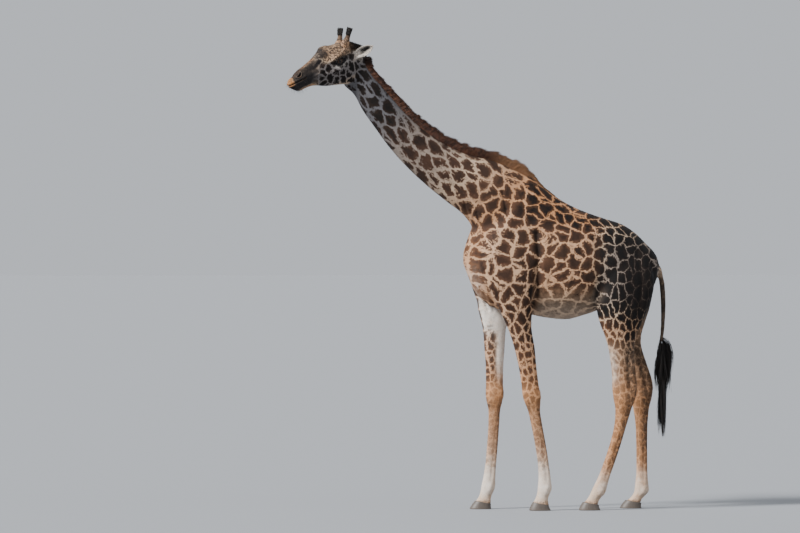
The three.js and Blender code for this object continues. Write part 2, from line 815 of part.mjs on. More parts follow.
const partedLegs = legRoom(gap);
for (const [name, side, half] of [["left", -1, leftSide], ["right", 1, rightSide]]) {
  const foreleg = body.intersect(partedLegs.fore).intersect(half);
  placeLeg(`front_${name}`, foreleg, legCuts.knee, foreBones[name], side, foreGirths[0][3]);
  const hindleg = body.intersect(partedLegs.hind).intersect(half);
  placeLeg(`hind_${name}`, hindleg, legCuts.hock, hindBones[name], side, hindGirths[0][3]);
}

const tailShaft = wholeTail.intersect(beyond([0, 0, tailCut], [0, 0, -1]));
place("tail", tailShaft.intersect(beyond([0, 0, tuftTop], [0, 0, 1])), 0x4a3a2e, 0.85);
place("tail_tuft", tuftSolid().intersect(beyond([0, 0, tuftTop], [0, 0, -1])), black, 0.9);

// The origin is the middle of the footprint.
const box = new THREE.Box3().setFromObject(group);
const centre = box.getCenter(new THREE.Vector3());
group.position.set(-centre.x, -centre.y, -box.min.z);

export default group;
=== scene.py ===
import math
from functools import partial

import bpy
import numpy as np
from mathutils import Matrix, Vector, kdtree


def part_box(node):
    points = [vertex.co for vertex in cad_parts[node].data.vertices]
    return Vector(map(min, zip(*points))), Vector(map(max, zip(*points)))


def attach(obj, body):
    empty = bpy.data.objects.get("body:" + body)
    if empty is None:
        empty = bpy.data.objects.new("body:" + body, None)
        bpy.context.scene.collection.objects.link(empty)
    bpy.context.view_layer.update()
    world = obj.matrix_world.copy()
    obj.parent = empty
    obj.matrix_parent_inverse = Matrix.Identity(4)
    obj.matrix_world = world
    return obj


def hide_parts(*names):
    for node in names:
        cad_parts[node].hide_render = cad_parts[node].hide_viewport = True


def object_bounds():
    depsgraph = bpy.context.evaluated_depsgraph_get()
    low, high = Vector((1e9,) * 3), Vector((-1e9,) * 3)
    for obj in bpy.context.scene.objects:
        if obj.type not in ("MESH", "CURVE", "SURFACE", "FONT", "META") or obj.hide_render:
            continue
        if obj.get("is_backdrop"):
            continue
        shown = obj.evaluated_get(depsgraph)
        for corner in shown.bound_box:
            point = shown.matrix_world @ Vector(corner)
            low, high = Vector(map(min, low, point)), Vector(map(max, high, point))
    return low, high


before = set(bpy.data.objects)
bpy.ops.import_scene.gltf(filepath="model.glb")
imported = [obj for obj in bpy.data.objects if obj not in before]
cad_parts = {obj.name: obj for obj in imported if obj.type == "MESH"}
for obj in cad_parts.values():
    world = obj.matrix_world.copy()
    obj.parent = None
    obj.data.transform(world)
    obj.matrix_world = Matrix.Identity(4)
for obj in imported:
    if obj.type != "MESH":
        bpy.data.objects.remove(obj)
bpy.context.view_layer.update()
draw = np.random.default_rng(7)

# Places below are metres in the animal's own frame: nose toward -X, left side toward -Y.
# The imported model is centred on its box, so everything is moved by this much at the end.
shift = np.array([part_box("hoof_front_right_inner")[0].x + 0.083, 0, 0])


# Small helpers
def deselectAll():
    if bpy.context.object and bpy.context.object.mode != "OBJECT":
        bpy.ops.object.mode_set(mode="OBJECT")
    bpy.ops.object.select_all(action="DESELECT")


def pick(*chosen):
    deselectAll()
    for one in chosen:
        one.select_set(True)
    bpy.context.view_layer.objects.active = chosen[0]


def applyModifier(piece, kind, **settings):
    pick(piece)
    added = piece.modifiers.new("shaping", kind)
    for key, value in settings.items():
        setattr(added, key, value)
    bpy.ops.object.modifier_apply(modifier=added.name)


def step(low, high, value):
    t = np.clip((value - low) / (high - low), 0, 1)
    return t * t * (3 - 2 * t)


def unit(vectors):
    return vectors / np.maximum(np.linalg.norm(vectors, axis=-1, keepdims=True), 1e-9)


# Smooth values without overshoot between rows of [where, value, value...]
def rowValues(rows, where):
    rows = np.asarray(rows, float)
    at = np.clip(where, rows[0, 0], rows[-1, 0])
    spot = np.clip(np.searchsorted(rows[:, 0], at, side="right") - 1, 0, len(rows) - 2)
    rises = np.diff(rows[:, 1:], axis=0) / np.diff(rows[:, 0])[:, None]
    both = rises[:-1] + rises[1:]
    turning = rises[:-1] * rises[1:] <= 0
    inner = np.where(turning, 0, 2 * rises[:-1] * rises[1:] / np.where(turning, 1, both))
    slope = np.vstack([rises[:1], inner, rises[-1:]])
    span = (rows[spot + 1, 0] - rows[spot, 0])[:, None]
    t = (at - rows[spot, 0])[:, None] / span
    rise = 3 * t**2 - 2 * t**3
    bend = (t**3 - 2 * t**2 + t) * slope[spot] + (t**3 - t**2) * slope[spot + 1]
    return (1 - rise) * rows[spot, 1:] + rise * rows[spot + 1, 1:] + span * bend


def pointsOf(piece):
    points = np.empty(len(piece.data.vertices) * 3)
    piece.data.vertices.foreach_get("co", points)
    return points.reshape(-1, 3)


def normalsOf(piece):
    normals = np.empty(len(piece.data.vertices) * 3, np.float32)
    piece.data.vertex_normals.foreach_get("vector", normals)
    return normals.reshape(-1, 3).astype(float)


def setPoints(piece, points):
    piece.data.vertices.foreach_set("co", np.ascontiguousarray(points, dtype=np.float32).ravel())
    piece.data.update()


def edgesOf(piece):
    ends = np.empty(len(piece.data.edges) * 2, np.int32)
    piece.data.edges.foreach_get("vertices", ends)
    return ends.reshape(-1, 2)


# Each value becomes more like its neighbours' values
def relaxed(values, ends, rounds, share=0.5):
    count = len(values)
    flat = values.reshape(count, -1).astype(float)
    degree = np.bincount(ends.ravel(), minlength=count)[:, None]
    share = np.broadcast_to(np.asarray(share, float).reshape(-1, 1), (count, 1))
    for _ in range(rounds):
        total = np.stack(
            [
                np.bincount(ends[:, 0], column[ends[:, 1]], count)
                + np.bincount(ends[:, 1], column[ends[:, 0]], count)
                for column in flat.T
            ],
            axis=1,
        )
        flat = flat + share * (total / np.maximum(degree, 1) - flat)
    return flat.reshape(values.shape)


# A closed tube: a flat grid is wrapped round the rings and its ends are filled
def ringTube(name, rings):
    count, sides = rings.shape[:2]
    deselectAll()
    bpy.ops.mesh.primitive_grid_add(x_subdivisions=sides, y_subdivisions=count - 1, size=1)
    made = bpy.context.object
    made.name = name
    setPoints(made, np.concatenate([rings, rings[:, :1]], axis=1).reshape(-1, 3))
    bpy.ops.object.mode_set(mode="EDIT")
    bpy.ops.mesh.select_all(action="SELECT")
    bpy.ops.mesh.remove_doubles(threshold=1e-5)
    bpy.ops.mesh.fill_holes(sides=0)
    bpy.ops.mesh.select_all(action="SELECT")
    bpy.ops.mesh.normals_make_consistent(inside=False)
    bpy.ops.object.mode_set(mode="OBJECT")
    return made


# Rings round a line of middles; above and below are the reaches along up, half the reach along side
def ringsAt(middle, up, side, above, below, half, crest, keel, sides):
    angle = np.arange(sides) / sides * 2 * np.pi
    upper = np.cos(angle) > 0
    power = np.where(upper, crest, keel)
    rise = np.sign(np.cos(angle)) * np.abs(np.cos(angle)) ** power
    spread = np.sign(np.sin(angle)) * np.abs(np.sin(angle)) ** power
    reach = np.where(upper[None], above[:, None], below[:, None]) * rise[None]
    return (
        middle[:, None]
        + up[:, None] * reach[..., None]
        + side[:, None] * (half[:, None] * spread[None])[..., None]
    )


# The body's main sizes, as in the solids
trunk = {
    # [x, top, bottom, half width]
    "rows": [
        [-0.160, 2.260, 2.150, 0.038],
        [-0.128, 2.365, 2.072, 0.088],
        [-0.066, 2.520, 1.925, 0.132],
        [0.005, 2.665, 1.838, 0.165],
        [0.092, 2.800, 1.776, 0.192],
        [0.232, 2.915, 1.732, 0.222],
        [0.390, 2.935, 1.715, 0.245],
        [0.565, 2.812, 1.680, 0.268],
        [0.740, 2.692, 1.664, 0.288],
        [0.915, 2.612, 1.706, 0.286],
        [1.090, 2.552, 1.768, 0.262],
        [1.230, 2.508, 1.820, 0.235],
        [1.352, 2.432, 1.856, 0.205],
        [1.457, 2.330, 1.874, 0.165],
        [1.515, 2.268, 1.940, 0.128],
        [1.548, 2.214, 2.030, 0.088],
        [1.566, 2.165, 2.075, 0.042],
    ],
    "steps": 60,
    "sides": 48,
    "crest": 1.12,
    "keel": 0.9,
    "waist": 0.46,
}
neck = {
    # [station, nape x, nape z, throat x, throat z, half width]
    "rows": [
        [0, -1.046, 3.973, -1.212, 3.702, 0.054],
        [1, -0.967, 3.824, -1.124, 3.631, 0.076],
        [2, -0.827, 3.658, -1.046, 3.491, 0.088],
        [3, -0.665, 3.474, -0.941, 3.343, 0.098],
        [4, -0.512, 3.334, -0.818, 3.176, 0.108],
        [5, -0.328, 3.207, -0.678, 3.019, 0.120],
        [6, -0.118, 3.115, -0.503, 2.853, 0.134],
        [7, 0.092, 3.063, -0.319, 2.704, 0.150],
        [8, 0.267, 2.993, -0.171, 2.590, 0.165],
        [9, 0.398, 2.923, -0.083, 2.468, 0.175],
        [10, 0.512, 2.783, 0.004, 2.275, 0.165],
    ],
    "steps": 90,
    "sides": 40,
    "crest": 1.05,
    "keel": 0.95,
    "waist": 0.48,
}
limbs = {
    # bone lines as [height, x]
    "foreLeft": [[0, 0.499], [0.061, 0.501], [0.200, 0.538], [0.989, 0.424], [1.400, 0.363], [1.706, 0.292],
                 [2.222, 0.240], [2.774, 0.350]],
    "foreRight": [[0, 0.012], [0.070, 0.036], [0.200, 0.080], [0.989, 0.134], [1.440, 0.134], [1.724, 0.134],
                  [1.850, 0.154], [2.222, 0.178], [2.774, 0.324]],
    "hindLeft": [[0, 0.936], [0.053, 0.943], [0.160, 1.011], [1.050, 1.243], [1.531, 1.206], [1.978, 1.229],
                 [2.330, 1.190]],
    "hindRight": [[0, 1.344], [0.053, 1.364], [0.160, 1.442], [1.060, 1.432], [1.531, 1.300], [1.978, 1.268],
                  [2.330, 1.210]],
    # girths as [height, length, half width, off the midline]
    "foreGirths": [
        [0.030, 0.152, 0.052, 0.160],
        [0.062, 0.138, 0.050, 0.160],
        [0.118, 0.117, 0.045, 0.160],
        [0.195, 0.131, 0.049, 0.160],
        [0.280, 0.114, 0.042, 0.160],
        [0.420, 0.103, 0.037, 0.159],
        [0.660, 0.102, 0.037, 0.158],
        [0.855, 0.109, 0.042, 0.157],
        [0.950, 0.148, 0.055, 0.156],
        [1.015, 0.165, 0.057, 0.156],
        [1.100, 0.158, 0.048, 0.156],
        [1.240, 0.162, 0.048, 0.156],
        [1.400, 0.184, 0.054, 0.158],
        [1.560, 0.206, 0.062, 0.162],
        [1.680, 0.255, 0.074, 0.168],
        [1.800, 0.326, 0.084, 0.174],
        [1.980, 0.476, 0.094, 0.174],
        [2.160, 0.540, 0.092, 0.166],
        [2.450, 0.400, 0.070, 0.142],
        [2.774, 0.180, 0.038, 0.096],
    ],
    "hindGirths": [
        [0.025, 0.142, 0.052, 0.155],
        [0.053, 0.126, 0.050, 0.155],
        [0.096, 0.120, 0.045, 0.155],
        [0.155, 0.136, 0.049, 0.155],
        [0.230, 0.121, 0.043, 0.155],
        [0.330, 0.104, 0.038, 0.155],
        [0.510, 0.104, 0.037, 0.155],
        [0.680, 0.108, 0.039, 0.154],
        [0.880, 0.148, 0.046, 0.153],
        [0.975, 0.200, 0.052, 0.153],
        [1.070, 0.228, 0.050, 0.154],
        [1.220, 0.218, 0.054, 0.158],
        [1.400, 0.232, 0.068, 0.164],
        [1.520, 0.280, 0.082, 0.168],
        [1.645, 0.376, 0.096, 0.168],
        [1.785, 0.478, 0.110, 0.164],
        [1.978, 0.556, 0.118, 0.156],
        [2.170, 0.500, 0.096, 0.136],
        [2.330, 0.300, 0.040, 0.104],
    ],
    "steps": 90,
    "sides": 32,
    "crest": 0.95,
    "keel": 0.95,
}
head = {
    "place": (-1.133, 0, 3.955),
    "pitch": 23,
    "yaw": 22,
    # [forward of the poll, top, bottom, half width, widest height]
    "rows": [
        [-0.120, 0.062, -0.120, 0.050, -0.020],
        [-0.070, 0.096, -0.168, 0.066, -0.020],
        [-0.020, 0.132, -0.188, 0.078, 0.000],
        [0.050, 0.168, -0.194, 0.090, 0.015],
        [0.120, 0.180, -0.190, 0.102, 0.030],
        [0.176, 0.188, -0.184, 0.108, 0.036],
        [0.225, 0.198, -0.172, 0.098, 0.040],
        [0.262, 0.199, -0.158, 0.086, 0.040],
        [0.300, 0.182, -0.148, 0.075, 0.030],
        [0.354, 0.156, -0.130, 0.067, 0.025],
        [0.420, 0.133, -0.098, 0.060, 0.020],
        [0.480, 0.114, -0.079, 0.056, 0.015],
        [0.540, 0.102, -0.075, 0.056, 0.020],
        [0.582, 0.089, -0.076, 0.054, 0.020],
        [0.614, 0.070, -0.068, 0.046, 0.014],
        [0.642, 0.065, -0.048, 0.038, 0.012],
        [0.664, 0.054, -0.026, 0.028, 0.012],
        [0.680, 0.034, 0.000, 0.013, 0.015],
    ],
    "steps": 110,
    "sides": 64,
    "crest": 0.86,
    "keel": 0.92,
}
tail = {
    # [station, x, z, half thickness]
    "rows": [
        [0, 1.490, 2.150, 0.062],
        [1, 1.558, 2.095, 0.044],
        [2, 1.585, 2.035, 0.029],
        [3, 1.598, 1.960, 0.027],
        [4, 1.608, 1.790, 0.025],
        [5, 1.604, 1.620, 0.021],
        [6, 1.590, 1.470, 0.018],
    ],
    "steps": 50,
    "sides": 16,
    "crest": 1,
    "keel": 1,
}
headMatrix = (
    Matrix.Translation(head["place"])
    @ Matrix.Rotation(math.radians(head["yaw"]), 4, "Z")
    @ Matrix.Rotation(math.radians(-head["pitch"]), 4, "Y")
)
headTurn = np.array(headMatrix.to_3x3())
headSpot = np.array(headMatrix.translation)
limbNames = ("foreLeft", "foreRight", "hindLeft", "hindRight")
thinnest = 0.002  # no ring reaches less than this from its middle


def fromHead(points):
    return np.asarray(points) @ headTurn.T + headSpot


# Points as [forward of the poll, toward the right, up] in the head's own frame
def toHead(points):
    local = (points - headSpot) @ headTurn
    return local * [-1, 1, 1]


def sideOf(name):
    return -1 if name.endswith("Left") else 1


def girthsOf(name):
    return limbs["foreGirths" if name.startswith("fore") else "hindGirths"]


def repeated(vector, count):
    return np.tile(np.array(vector, float), (count, 1))


# Directions in the side view, turned a quarter upward
def quarterUp(along):
    return np.stack([-along[:, 2], along[:, 1], along[:, 0]], 1)


# Each form gives its middles, ups, sides, reaches above and below, and half widths
def trunkAt(x):
    top, bottom, half = rowValues(trunk["rows"], x).T
    level = bottom + (top - bottom) * trunk["waist"]
    count = len(x)
    middle = np.stack([x, np.zeros(count), level], 1)
    return middle, repeated((0, 0, 1), count), repeated((0, 1, 0), count), top - level, level - bottom, half


def neckAt(station):
    napeX, napeZ, throatX, throatZ, half = rowValues(neck["rows"], station).T
    zero = np.zeros(len(station))
    nape, throat = np.stack([napeX, zero, napeZ], 1), np.stack([throatX, zero, throatZ], 1)
    height = np.linalg.norm(nape - throat, axis=1)
    up = unit(nape - throat)
    level = height * neck["waist"]
    middle = throat + up * level[:, None]
    return middle, up, repeated((0, 1, 0), len(station)), height - level, level, half


def limbAt(name, height):
    length, half, off = rowValues(girthsOf(name), height).T
    middle = np.stack([rowValues(limbs[name], height)[:, 0], sideOf(name) * off, height], 1)
    count = len(height)
    return middle, repeated((-1, 0, 0), count), repeated((0, 1, 0), count), length / 2, length / 2, half


def headAt(forward):
    top, bottom, half, level = rowValues(head["rows"], forward).T
    count = len(forward)
    middle = fromHead(np.stack([-forward, np.zeros(count), level], 1))
    above, below = np.maximum(top - level, thinnest), np.maximum(level - bottom, thinnest)
    return middle, repeated(headTurn[:, 2], count), repeated(headTurn[:, 1], count), above, below, half


def tailAt(station):
    x, z, half = rowValues(tail["rows"], station).T
    middle = np.stack([x, np.zeros(len(x)), z], 1)
    up = quarterUp(unit(np.gradient(middle, axis=0)))
    return middle, up, repeated((0, 1, 0), len(x)), half, half, half * 0.95


# Stations closer together toward both ends, where the forms close
def stations(rows, count):
    low, high = rows[0][0], rows[-1][0]
    even = np.linspace(0, 1, count + 1)
    return low + (high - low) * (0.55 * even + 0.45 * (1 - np.cos(even * np.pi)) / 2)


parts = {
    "trunk": (trunkAt, stations(trunk["rows"], trunk["steps"]), trunk),
    "neck": (neckAt, stations(neck["rows"], neck["steps"]), neck),
    "head": (headAt, stations(head["rows"], head["steps"]), head),
    "tail": (tailAt, np.linspace(0, len(tail["rows"]) - 1, tail["steps"] + 1), tail),
}
for name in limbNames:
    parts[name] = (partial(limbAt, name), stations(girthsOf(name), limbs["steps"]), limbs)


def partRings(name, inset=0.0):
    shapeAt, where, sizes = parts[name]
    middle, up, side, *reaches = shapeAt(where)
    above, below, half = (np.maximum(reach - inset, thinnest) for reach in reaches)
    return ringsAt(middle, up, side, above, below, half, sizes["crest"], sizes["keel"], sizes["sides"])


# Skin: one closed form for all the flesh
skinLook = {
    "cell": 0.0065,
    "coatDepth": 0.0035,
    "triangles": 176000,
    "softRounds": 40,
    "softLeast": 0.12,
    # [x, z, reach, how much]: limbs, neck and head grow out of each other here, so the joins soften most
    "joins": [
        [0.20, 2.30, 0.52, 1.0],
        [1.25, 2.10, 0.42, 1.0],
        [0.35, 2.75, 0.42, 1.0],
        [-0.05, 2.40, 0.25, 1.0],
        [-1.09, 3.82, 0.22, 1.0],
        [-1.05, 4.00, 0.15, 1.0],
        [-1.04, 3.76, 0.16, 1.0],
        [-1.205, 3.735, 0.11, 0.8],
        [1.53, 2.10, 0.16, 0.9],
    ],
}
pick(*[ringTube(name, partRings(name, skinLook["coatDepth"])) for name in parts])
bpy.ops.object.join()
skin = bpy.context.object
skin.name = "skin"
applyModifier(skin, "REMESH", mode="VOXEL", voxel_size=skinLook["cell"])
print("skin cast:", len(skin.data.polygons), "faces")

points, ends = pointsOf(skin), edgesOf(skin)
weight = np.full(len(points), skinLook["softLeast"])
for x, z, reach, much in skinLook["joins"]:
    away = np.hypot(points[:, 0] - x, points[:, 2] - z)
    weight = np.maximum(weight, much * step(reach, reach * 0.55, away))
setPoints(skin, relaxed(points, ends, skinLook["softRounds"], 0.5 * weight))
print("joins softened")


# One more cut across the chosen faces of the skin
def cutFiner(chosen):
    pick(skin)
    bpy.ops.object.mode_set(mode="EDIT")
    bpy.ops.mesh.select_all(action="DESELECT")
    bpy.ops.mesh.select_mode(type="FACE")
    bpy.ops.object.mode_set(mode="OBJECT")
    skin.data.polygons.foreach_set("select", np.asarray(chosen, bool))
    bpy.ops.object.mode_set(mode="EDIT")
    bpy.ops.mesh.subdivide(number_cuts=1)
    bpy.ops.mesh.select_all(action="DESELECT")
    bpy.ops.object.mode_set(mode="OBJECT")


def faceSpots():
    spots = np.empty(len(skin.data.polygons) * 3)
    skin.data.polygons.foreach_get("center", spots)
    return spots.reshape(-1, 3)


# The head is cut finer before its features are shaped, and the eyes and nose finer still
eyes = {
    "forward": 0.174,
    "side": 0.0775,
    "up": 0.032,
    "radius": 0.035,
    # half length and half height of the opening
    "open": (0.0345, 0.0170),
    "tilt": -7,
    "lidLift": 0.0022,
    "lidRim": 0.0035,
    "sink": 0.006,
    "fineReach": 0.052,
    # the way the right eye looks, and how far its clear front stands out
    "gaze": (-0.22, 0.97, 0.02),
    "cornea": 0.0016,
    "segments": (64, 48),
}
nostrils = {"forward": 0.560, "side": 0.052, "up": 0.058, "length": 0.024, "height": 0.0085, "tilt": 28}
local = toHead(faceSpots())
cutFiner((local[:, 0] > 0.0) & (np.abs(local[:, 1]) < 0.2) & (np.abs(local[:, 2]) < 0.3))
local = toHead(faceSpots())
eyeAway = np.hypot(local[:, 0] - eyes["forward"], local[:, 2] - eyes["up"])
cutFiner(((eyeAway < eyes["fineReach"]) & (np.abs(local[:, 1]) > 0.06)) | (local[:, 0] > 0.49))
points, ends = pointsOf(skin), edgesOf(skin)
local = toHead(points)
onHead = step(0.0, 0.05, local[:, 0]) * (np.abs(local[:, 1]) < 0.3)
setPoints(skin, relaxed(points, ends, 6, 0.5 * onHead))
print("head refined:", len(skin.data.polygons), "faces")


# Distance from points to a bent line, in the plane that the line's points are given in
def awayFromLine(spots, line):
    line = np.asarray(line, float)
    best = np.full(len(spots), 1e9)
    for start, end in zip(line[:-1], line[1:]):
        run = end - start
        t = np.clip(((spots - start) @ run) / (run @ run), 0, 1)
        best = np.minimum(best, np.linalg.norm(spots - start - t[:, None] * run, axis=1))
    return best


# A stroke pushes the skin out (or in, where push is below 0) beside a line of (x, z) points
def bodyStroke(line, width, push):
    away = awayFromLine(points[:, [0, 2]], line)
    return np.exp(-((away / width) ** 2)) * push * step(0, 0.15, np.abs(normals[:, 1]))


# The same on one leg, where a line's points are (height, share of the leg's depth behind the bone)
def legStroke(name, line, width, push):
    line = np.asarray(line, float)
    middle, _, _, _, reach, _ = limbAt(name, line[:, 0])
    path = np.stack([middle[:, 0] + reach * line[:, 1], line[:, 0]], 1)
    away = awayFromLine(points[:, [0, 2]], path)
    mask = (points[:, 1] * sideOf(name) > 0) * step(0, 0.3, np.abs(normals[:, 1]))
    return np.exp(-((away / width) ** 2)) * push * mask


# Strokes are (line, width, push)
muscles = [
    ([(0.34, 2.78), (0.24, 2.55), (0.10, 2.28)], 0.055, 0.010),  # shoulder blade's spine
    ([(0.46, 2.66), (0.40, 2.45), (0.36, 2.30)], 0.050, -0.008),
    ([(0.10, 2.20), (0.20, 2.02)], 0.095, 0.014),  # point of the shoulder
    ([(0.30, 2.32), (0.36, 2.10), (0.36, 1.90)], 0.085, 0.012),  # back of the upper arm
    ([(0.46, 2.42), (0.475, 2.20), (0.455, 1.98), (0.43, 1.80)], 0.030, -0.030),  # fold behind it
    ([(0.50, 2.16), (0.53, 2.00), (0.62, 1.83)], 0.030, 0.009),
    ([(1.02, 2.30), (1.03, 2.10), (0.99, 1.90)], 0.085, -0.018),  # flank hollow
    ([(1.10, 2.42), (1.17, 2.38)], 0.050, 0.014),  # hip
    ([(1.47, 2.24), (1.50, 2.20)], 0.045, 0.010),
    ([(1.20, 2.15), (1.16, 1.85), (1.13, 1.66)], 0.120, 0.012),  # thigh
    ([(1.36, 2.26), (1.39, 2.00), (1.35, 1.72)], 0.028, -0.009),
    ([(1.28, 1.62), (1.30, 1.38)], 0.040, -0.006),
    ([(0.98, 1.80), (1.06, 1.72)], 0.035, -0.008),
]
for rib in np.linspace(0.56, 0.96, 7):
    muscles.append(([(rib - 0.02, 2.40), (rib, 2.1), (rib - 0.04, 1.88)], 0.016, 0.0022))
# windpipe groove and the long muscle over it, down the neck
middle, up, _, above, below, _ = neckAt(np.linspace(1.2, 8.2, 12))
muscles.append(((middle - up * (below * 0.42)[:, None])[:, [0, 2]], 0.026, -0.009))
muscles.append(((middle + up * (above * 0.10)[:, None])[:, [0, 2]], 0.05, 0.006))
# folds where the neck meets the shoulder
muscles += [
    ([(-0.16, 2.66), (-0.10, 2.50)], 0.010, -0.009),
    ([(-0.11, 2.62), (-0.05, 2.44)], 0.010, -0.009),
    ([(-0.06, 2.60), (0.0, 2.42)], 0.010, -0.009),
    ([(0.165, 2.78), (0.19, 2.66), (0.205, 2.56)], 0.011, -0.010),
]
# breast muscle running down into the arm: grooves with ridges between them
for x in np.arange(4) * 0.05 - 0.09:
    muscles.append(([(x, 2.10), (x + 0.10, 1.90), (x + 0.16, 1.74)], 0.012, -0.005))
    muscles.append(([(x + 0.025, 2.10), (x + 0.125, 1.90), (x + 0.185, 1.74)], 0.012, 0.003))
legStrokes = {
    "fore": [
        ([(0.70, 0.30), (0.50, 0.28), (0.26, 0.22)], 0.012, -0.004),  # tendon groove
        ([(0.80, 0.70), (0.50, 0.72), (0.28, 0.68)], 0.012, 0.003),
        ([(1.02, -0.45), (0.96, -0.35)], 0.030, 0.006),  # knee bones
        ([(1.03, 0.75), (0.99, 0.75)], 0.022, 0.007),
        ([(1.10, 0.20), (1.30, 0.12), (1.50, 0.10)], 0.016, -0.005),
        ([(0.20, 0.25), (0.17, 0.20)], 0.020, 0.006),  # fetlock
        ([(0.155, 0.85), (0.12, 0.60)], 0.012, -0.006),
    ],
    "hind": [
        ([(0.60, 0.28), (0.50, 0.28), (0.26, 0.22)], 0.012, -0.004),
        ([(0.84, 0.70), (0.50, 0.72), (0.28, 0.68)], 0.012, 0.003),
        ([(1.08, 0.42), (1.22, 0.42), (1.36, 0.44)], 0.024, -0.014),  # before the heel cord
        ([(0.98, -0.30), (0.90, -0.20)], 0.030, 0.006),  # hock
        ([(0.17, 0.25), (0.14, 0.20)], 0.020, 0.006),
        ([(0.125, 0.85), (0.10, 0.60)], 0.012, -0.006),
    ],
}
points, normals = pointsOf(skin), normalsOf(skin)
push = np.zeros(len(points))
for line, width, much in muscles:
    push += bodyStroke(line, width, much)
for name in limbNames:
    for line, width, much in legStrokes[name[:4]]:
        push += legStroke(name, line, width, much)
# painted shade for the folds: how far each point is pushed in
crease = np.clip(-push / 0.012, 0, 1)
setPoints(skin, points + normals * push[:, None])
print("muscles and folds shaped")

# Head features, on lines of (forward, up) points
points, normals = pointsOf(skin), normalsOf(skin)
local = toHead(points)
flank = np.abs(local[:, 1])
lateral = step(0.25, 0.6, np.abs(normals @ headTurn[:, 1]))
upward = normals @ headTurn[:, 2]
onSkull = step(-0.03, 0.02, local[:, 0]) * (flank < 0.2) * (local[:, 2] > -0.3)


def headStroke(line, width, push, mask):
    return np.exp(-((awayFromLine(local[:, [0, 2]], line) / width) ** 2)) * push * mask


cheeks = [
    ([(0.11, 0.075), (0.17, 0.085), (0.225, 0.065)], 0.020, 0.011),  # brow
    ([(0.245, 0.035), (0.225, -0.005), (0.17, -0.022)], 0.020, -0.006),
    ([(0.13, -0.025), (0.22, -0.035), (0.33, -0.030)], 0.018, 0.008),  # cheekbone
    ([(0.24, -0.085), (0.36, -0.055), (0.46, -0.030)], 0.030, -0.008),
    ([(0.06, -0.09), (0.12, -0.13), (0.20, -0.12)], 0.050, 0.008),  # jaw muscle
    ([(0.27, 0.09), (0.36, 0.08), (0.46, 0.06)], 0.026, -0.005),
    ([(0.04, 0.05), (0.10, 0.05)], 0.030, -0.008),  # temple
    ([(0.02, -0.06), (-0.01, -0.13)], 0.020, -0.010),
    ([(0.30, 0.02), (0.40, 0.0), (0.48, -0.005)], 0.007, 0.0025),  # vein
]
push = np.zeros(len(points))
for line, width, much in cheeks:
    push += headStroke(line, width, much, lateral)
# crown between the horns and the low bump before them
crest = step(0.05, 0.015, flank) * step(0.3, 0.7, upward)
push += headStroke([(0.225, 0.2), (0.262, 0.2)], 0.030, 0.008, crest)
push += headStroke([(0.47, 0.115), (0.53, 0.105)], 0.030, 0.003, crest)
hornAway = np.linalg.norm(np.stack([local[:, 0], flank, local[:, 2]], 1) - [0.060, 0.072, 0.118], axis=1)
push += 0.012 * np.exp(-((hornAway / 0.034) ** 2))

# mouth line round the front, with both lips swelling beside it, the chin and wrinkles of the upper lip
mouthLine = [(0.512, 0.018), (0.550, 0.0155), (0.600, 0.013), (0.640, 0.009), (0.700, 0.006)]
inMouth = step(0.500, 0.520, local[:, 0])
for lift, width, much in ((0, 0.0040, -0.0085), (0.013, 0.010, 0.0045), (-0.013, 0.009, 0.0030)):
    push += headStroke([(x, z + lift) for x, z in mouthLine], width, much, inMouth)
push += headStroke([(0.575, -0.060), (0.610, -0.048)], 0.020, 0.004, step(0.0, 0.5, -upward))
for crack in np.linspace(0.54, 0.66, 7):
    push += headStroke([(crack, 0.016), (crack + 0.008, 0.034)], 0.0032, -0.0012, inMouth)
# painted shade along the mouth line
mouthShade = headStroke(mouthLine, 0.0050, 1.0, inMouth)

# nostrils: slanting slits with a raised rim
lean = math.radians(nostrils["tilt"])
ahead, rise = local[:, 0] - nostrils["forward"], local[:, 2] - nostrils["up"]
along = ahead * math.cos(lean) - rise * math.sin(lean)
across = ahead * math.sin(lean) + rise * math.cos(lean) - 0.25 * along**2 / nostrils["length"]
slit = np.hypot(along / nostrils["length"], across / nostrils["height"])
onSide = step(0.02, 0.035, flank)
nostrilHole = step(1.15, 0.6, slit) * onSide
push += -0.016 * nostrilHole + 0.0045 * np.exp(-(((slit - 1.45) / 0.32) ** 2)) * onSide
nostrilRim = np.exp(-(((slit - 1.35) / 0.3) ** 2)) * onSide
points = points + normals * (push * onSkull)[:, None]

# eyes: the skin opens in an almond over each eyeball and lies close to it as lids
lidShade = np.zeros(len(points))
lidTilt = math.radians(eyes["tilt"])
for side in (-1, 1):
    spot = np.array([eyes["forward"], side * eyes["side"], eyes["up"]])
    offset = toHead(points) - spot
    wide = offset[:, 0] * math.cos(lidTilt) + offset[:, 2] * math.sin(lidTilt)
    high = offset[:, 2] * math.cos(lidTilt) - offset[:, 0] * math.sin(lidTilt)
    half = eyes["open"][1] * np.clip(1 - (wide / eyes["open"][0]) ** 2, 0, 1) ** 0.95
    gap = np.maximum(high - half * 1.05, -high - half * 0.85)
    outside = np.maximum(gap, (np.abs(wide) - eyes["open"][0]) * 0.8)
    near = (offset[:, 1] * side > -0.005) & (np.abs(wide) < 0.06) & (np.abs(high) < 0.06)
    hug = (step(0.020, 0.004, outside) * near)[:, None]
    rim = np.exp(-(((outside - eyes["lidRim"]) / eyes["lidRim"]) ** 2))
    lid = eyes["radius"] + eyes["lidLift"] + eyes["lidLift"] * rim
    target = np.where(outside < 0, eyes["radius"] - eyes["sink"] * step(0, -0.003, outside), lid)
    moved = offset * (target / np.maximum(np.linalg.norm(offset, axis=1), 1e-6))[:, None]
    points = fromHead((spot + offset * (1 - hug) + moved * hug) * [-1, 1, 1])
    ring = np.exp(-((np.maximum(outside, 0) / 0.010) ** 2)) * near * (offset[:, 1] * side > 0)
    lidShade = np.maximum(lidShade, ring)
setPoints(skin, points)
print("face shaped")

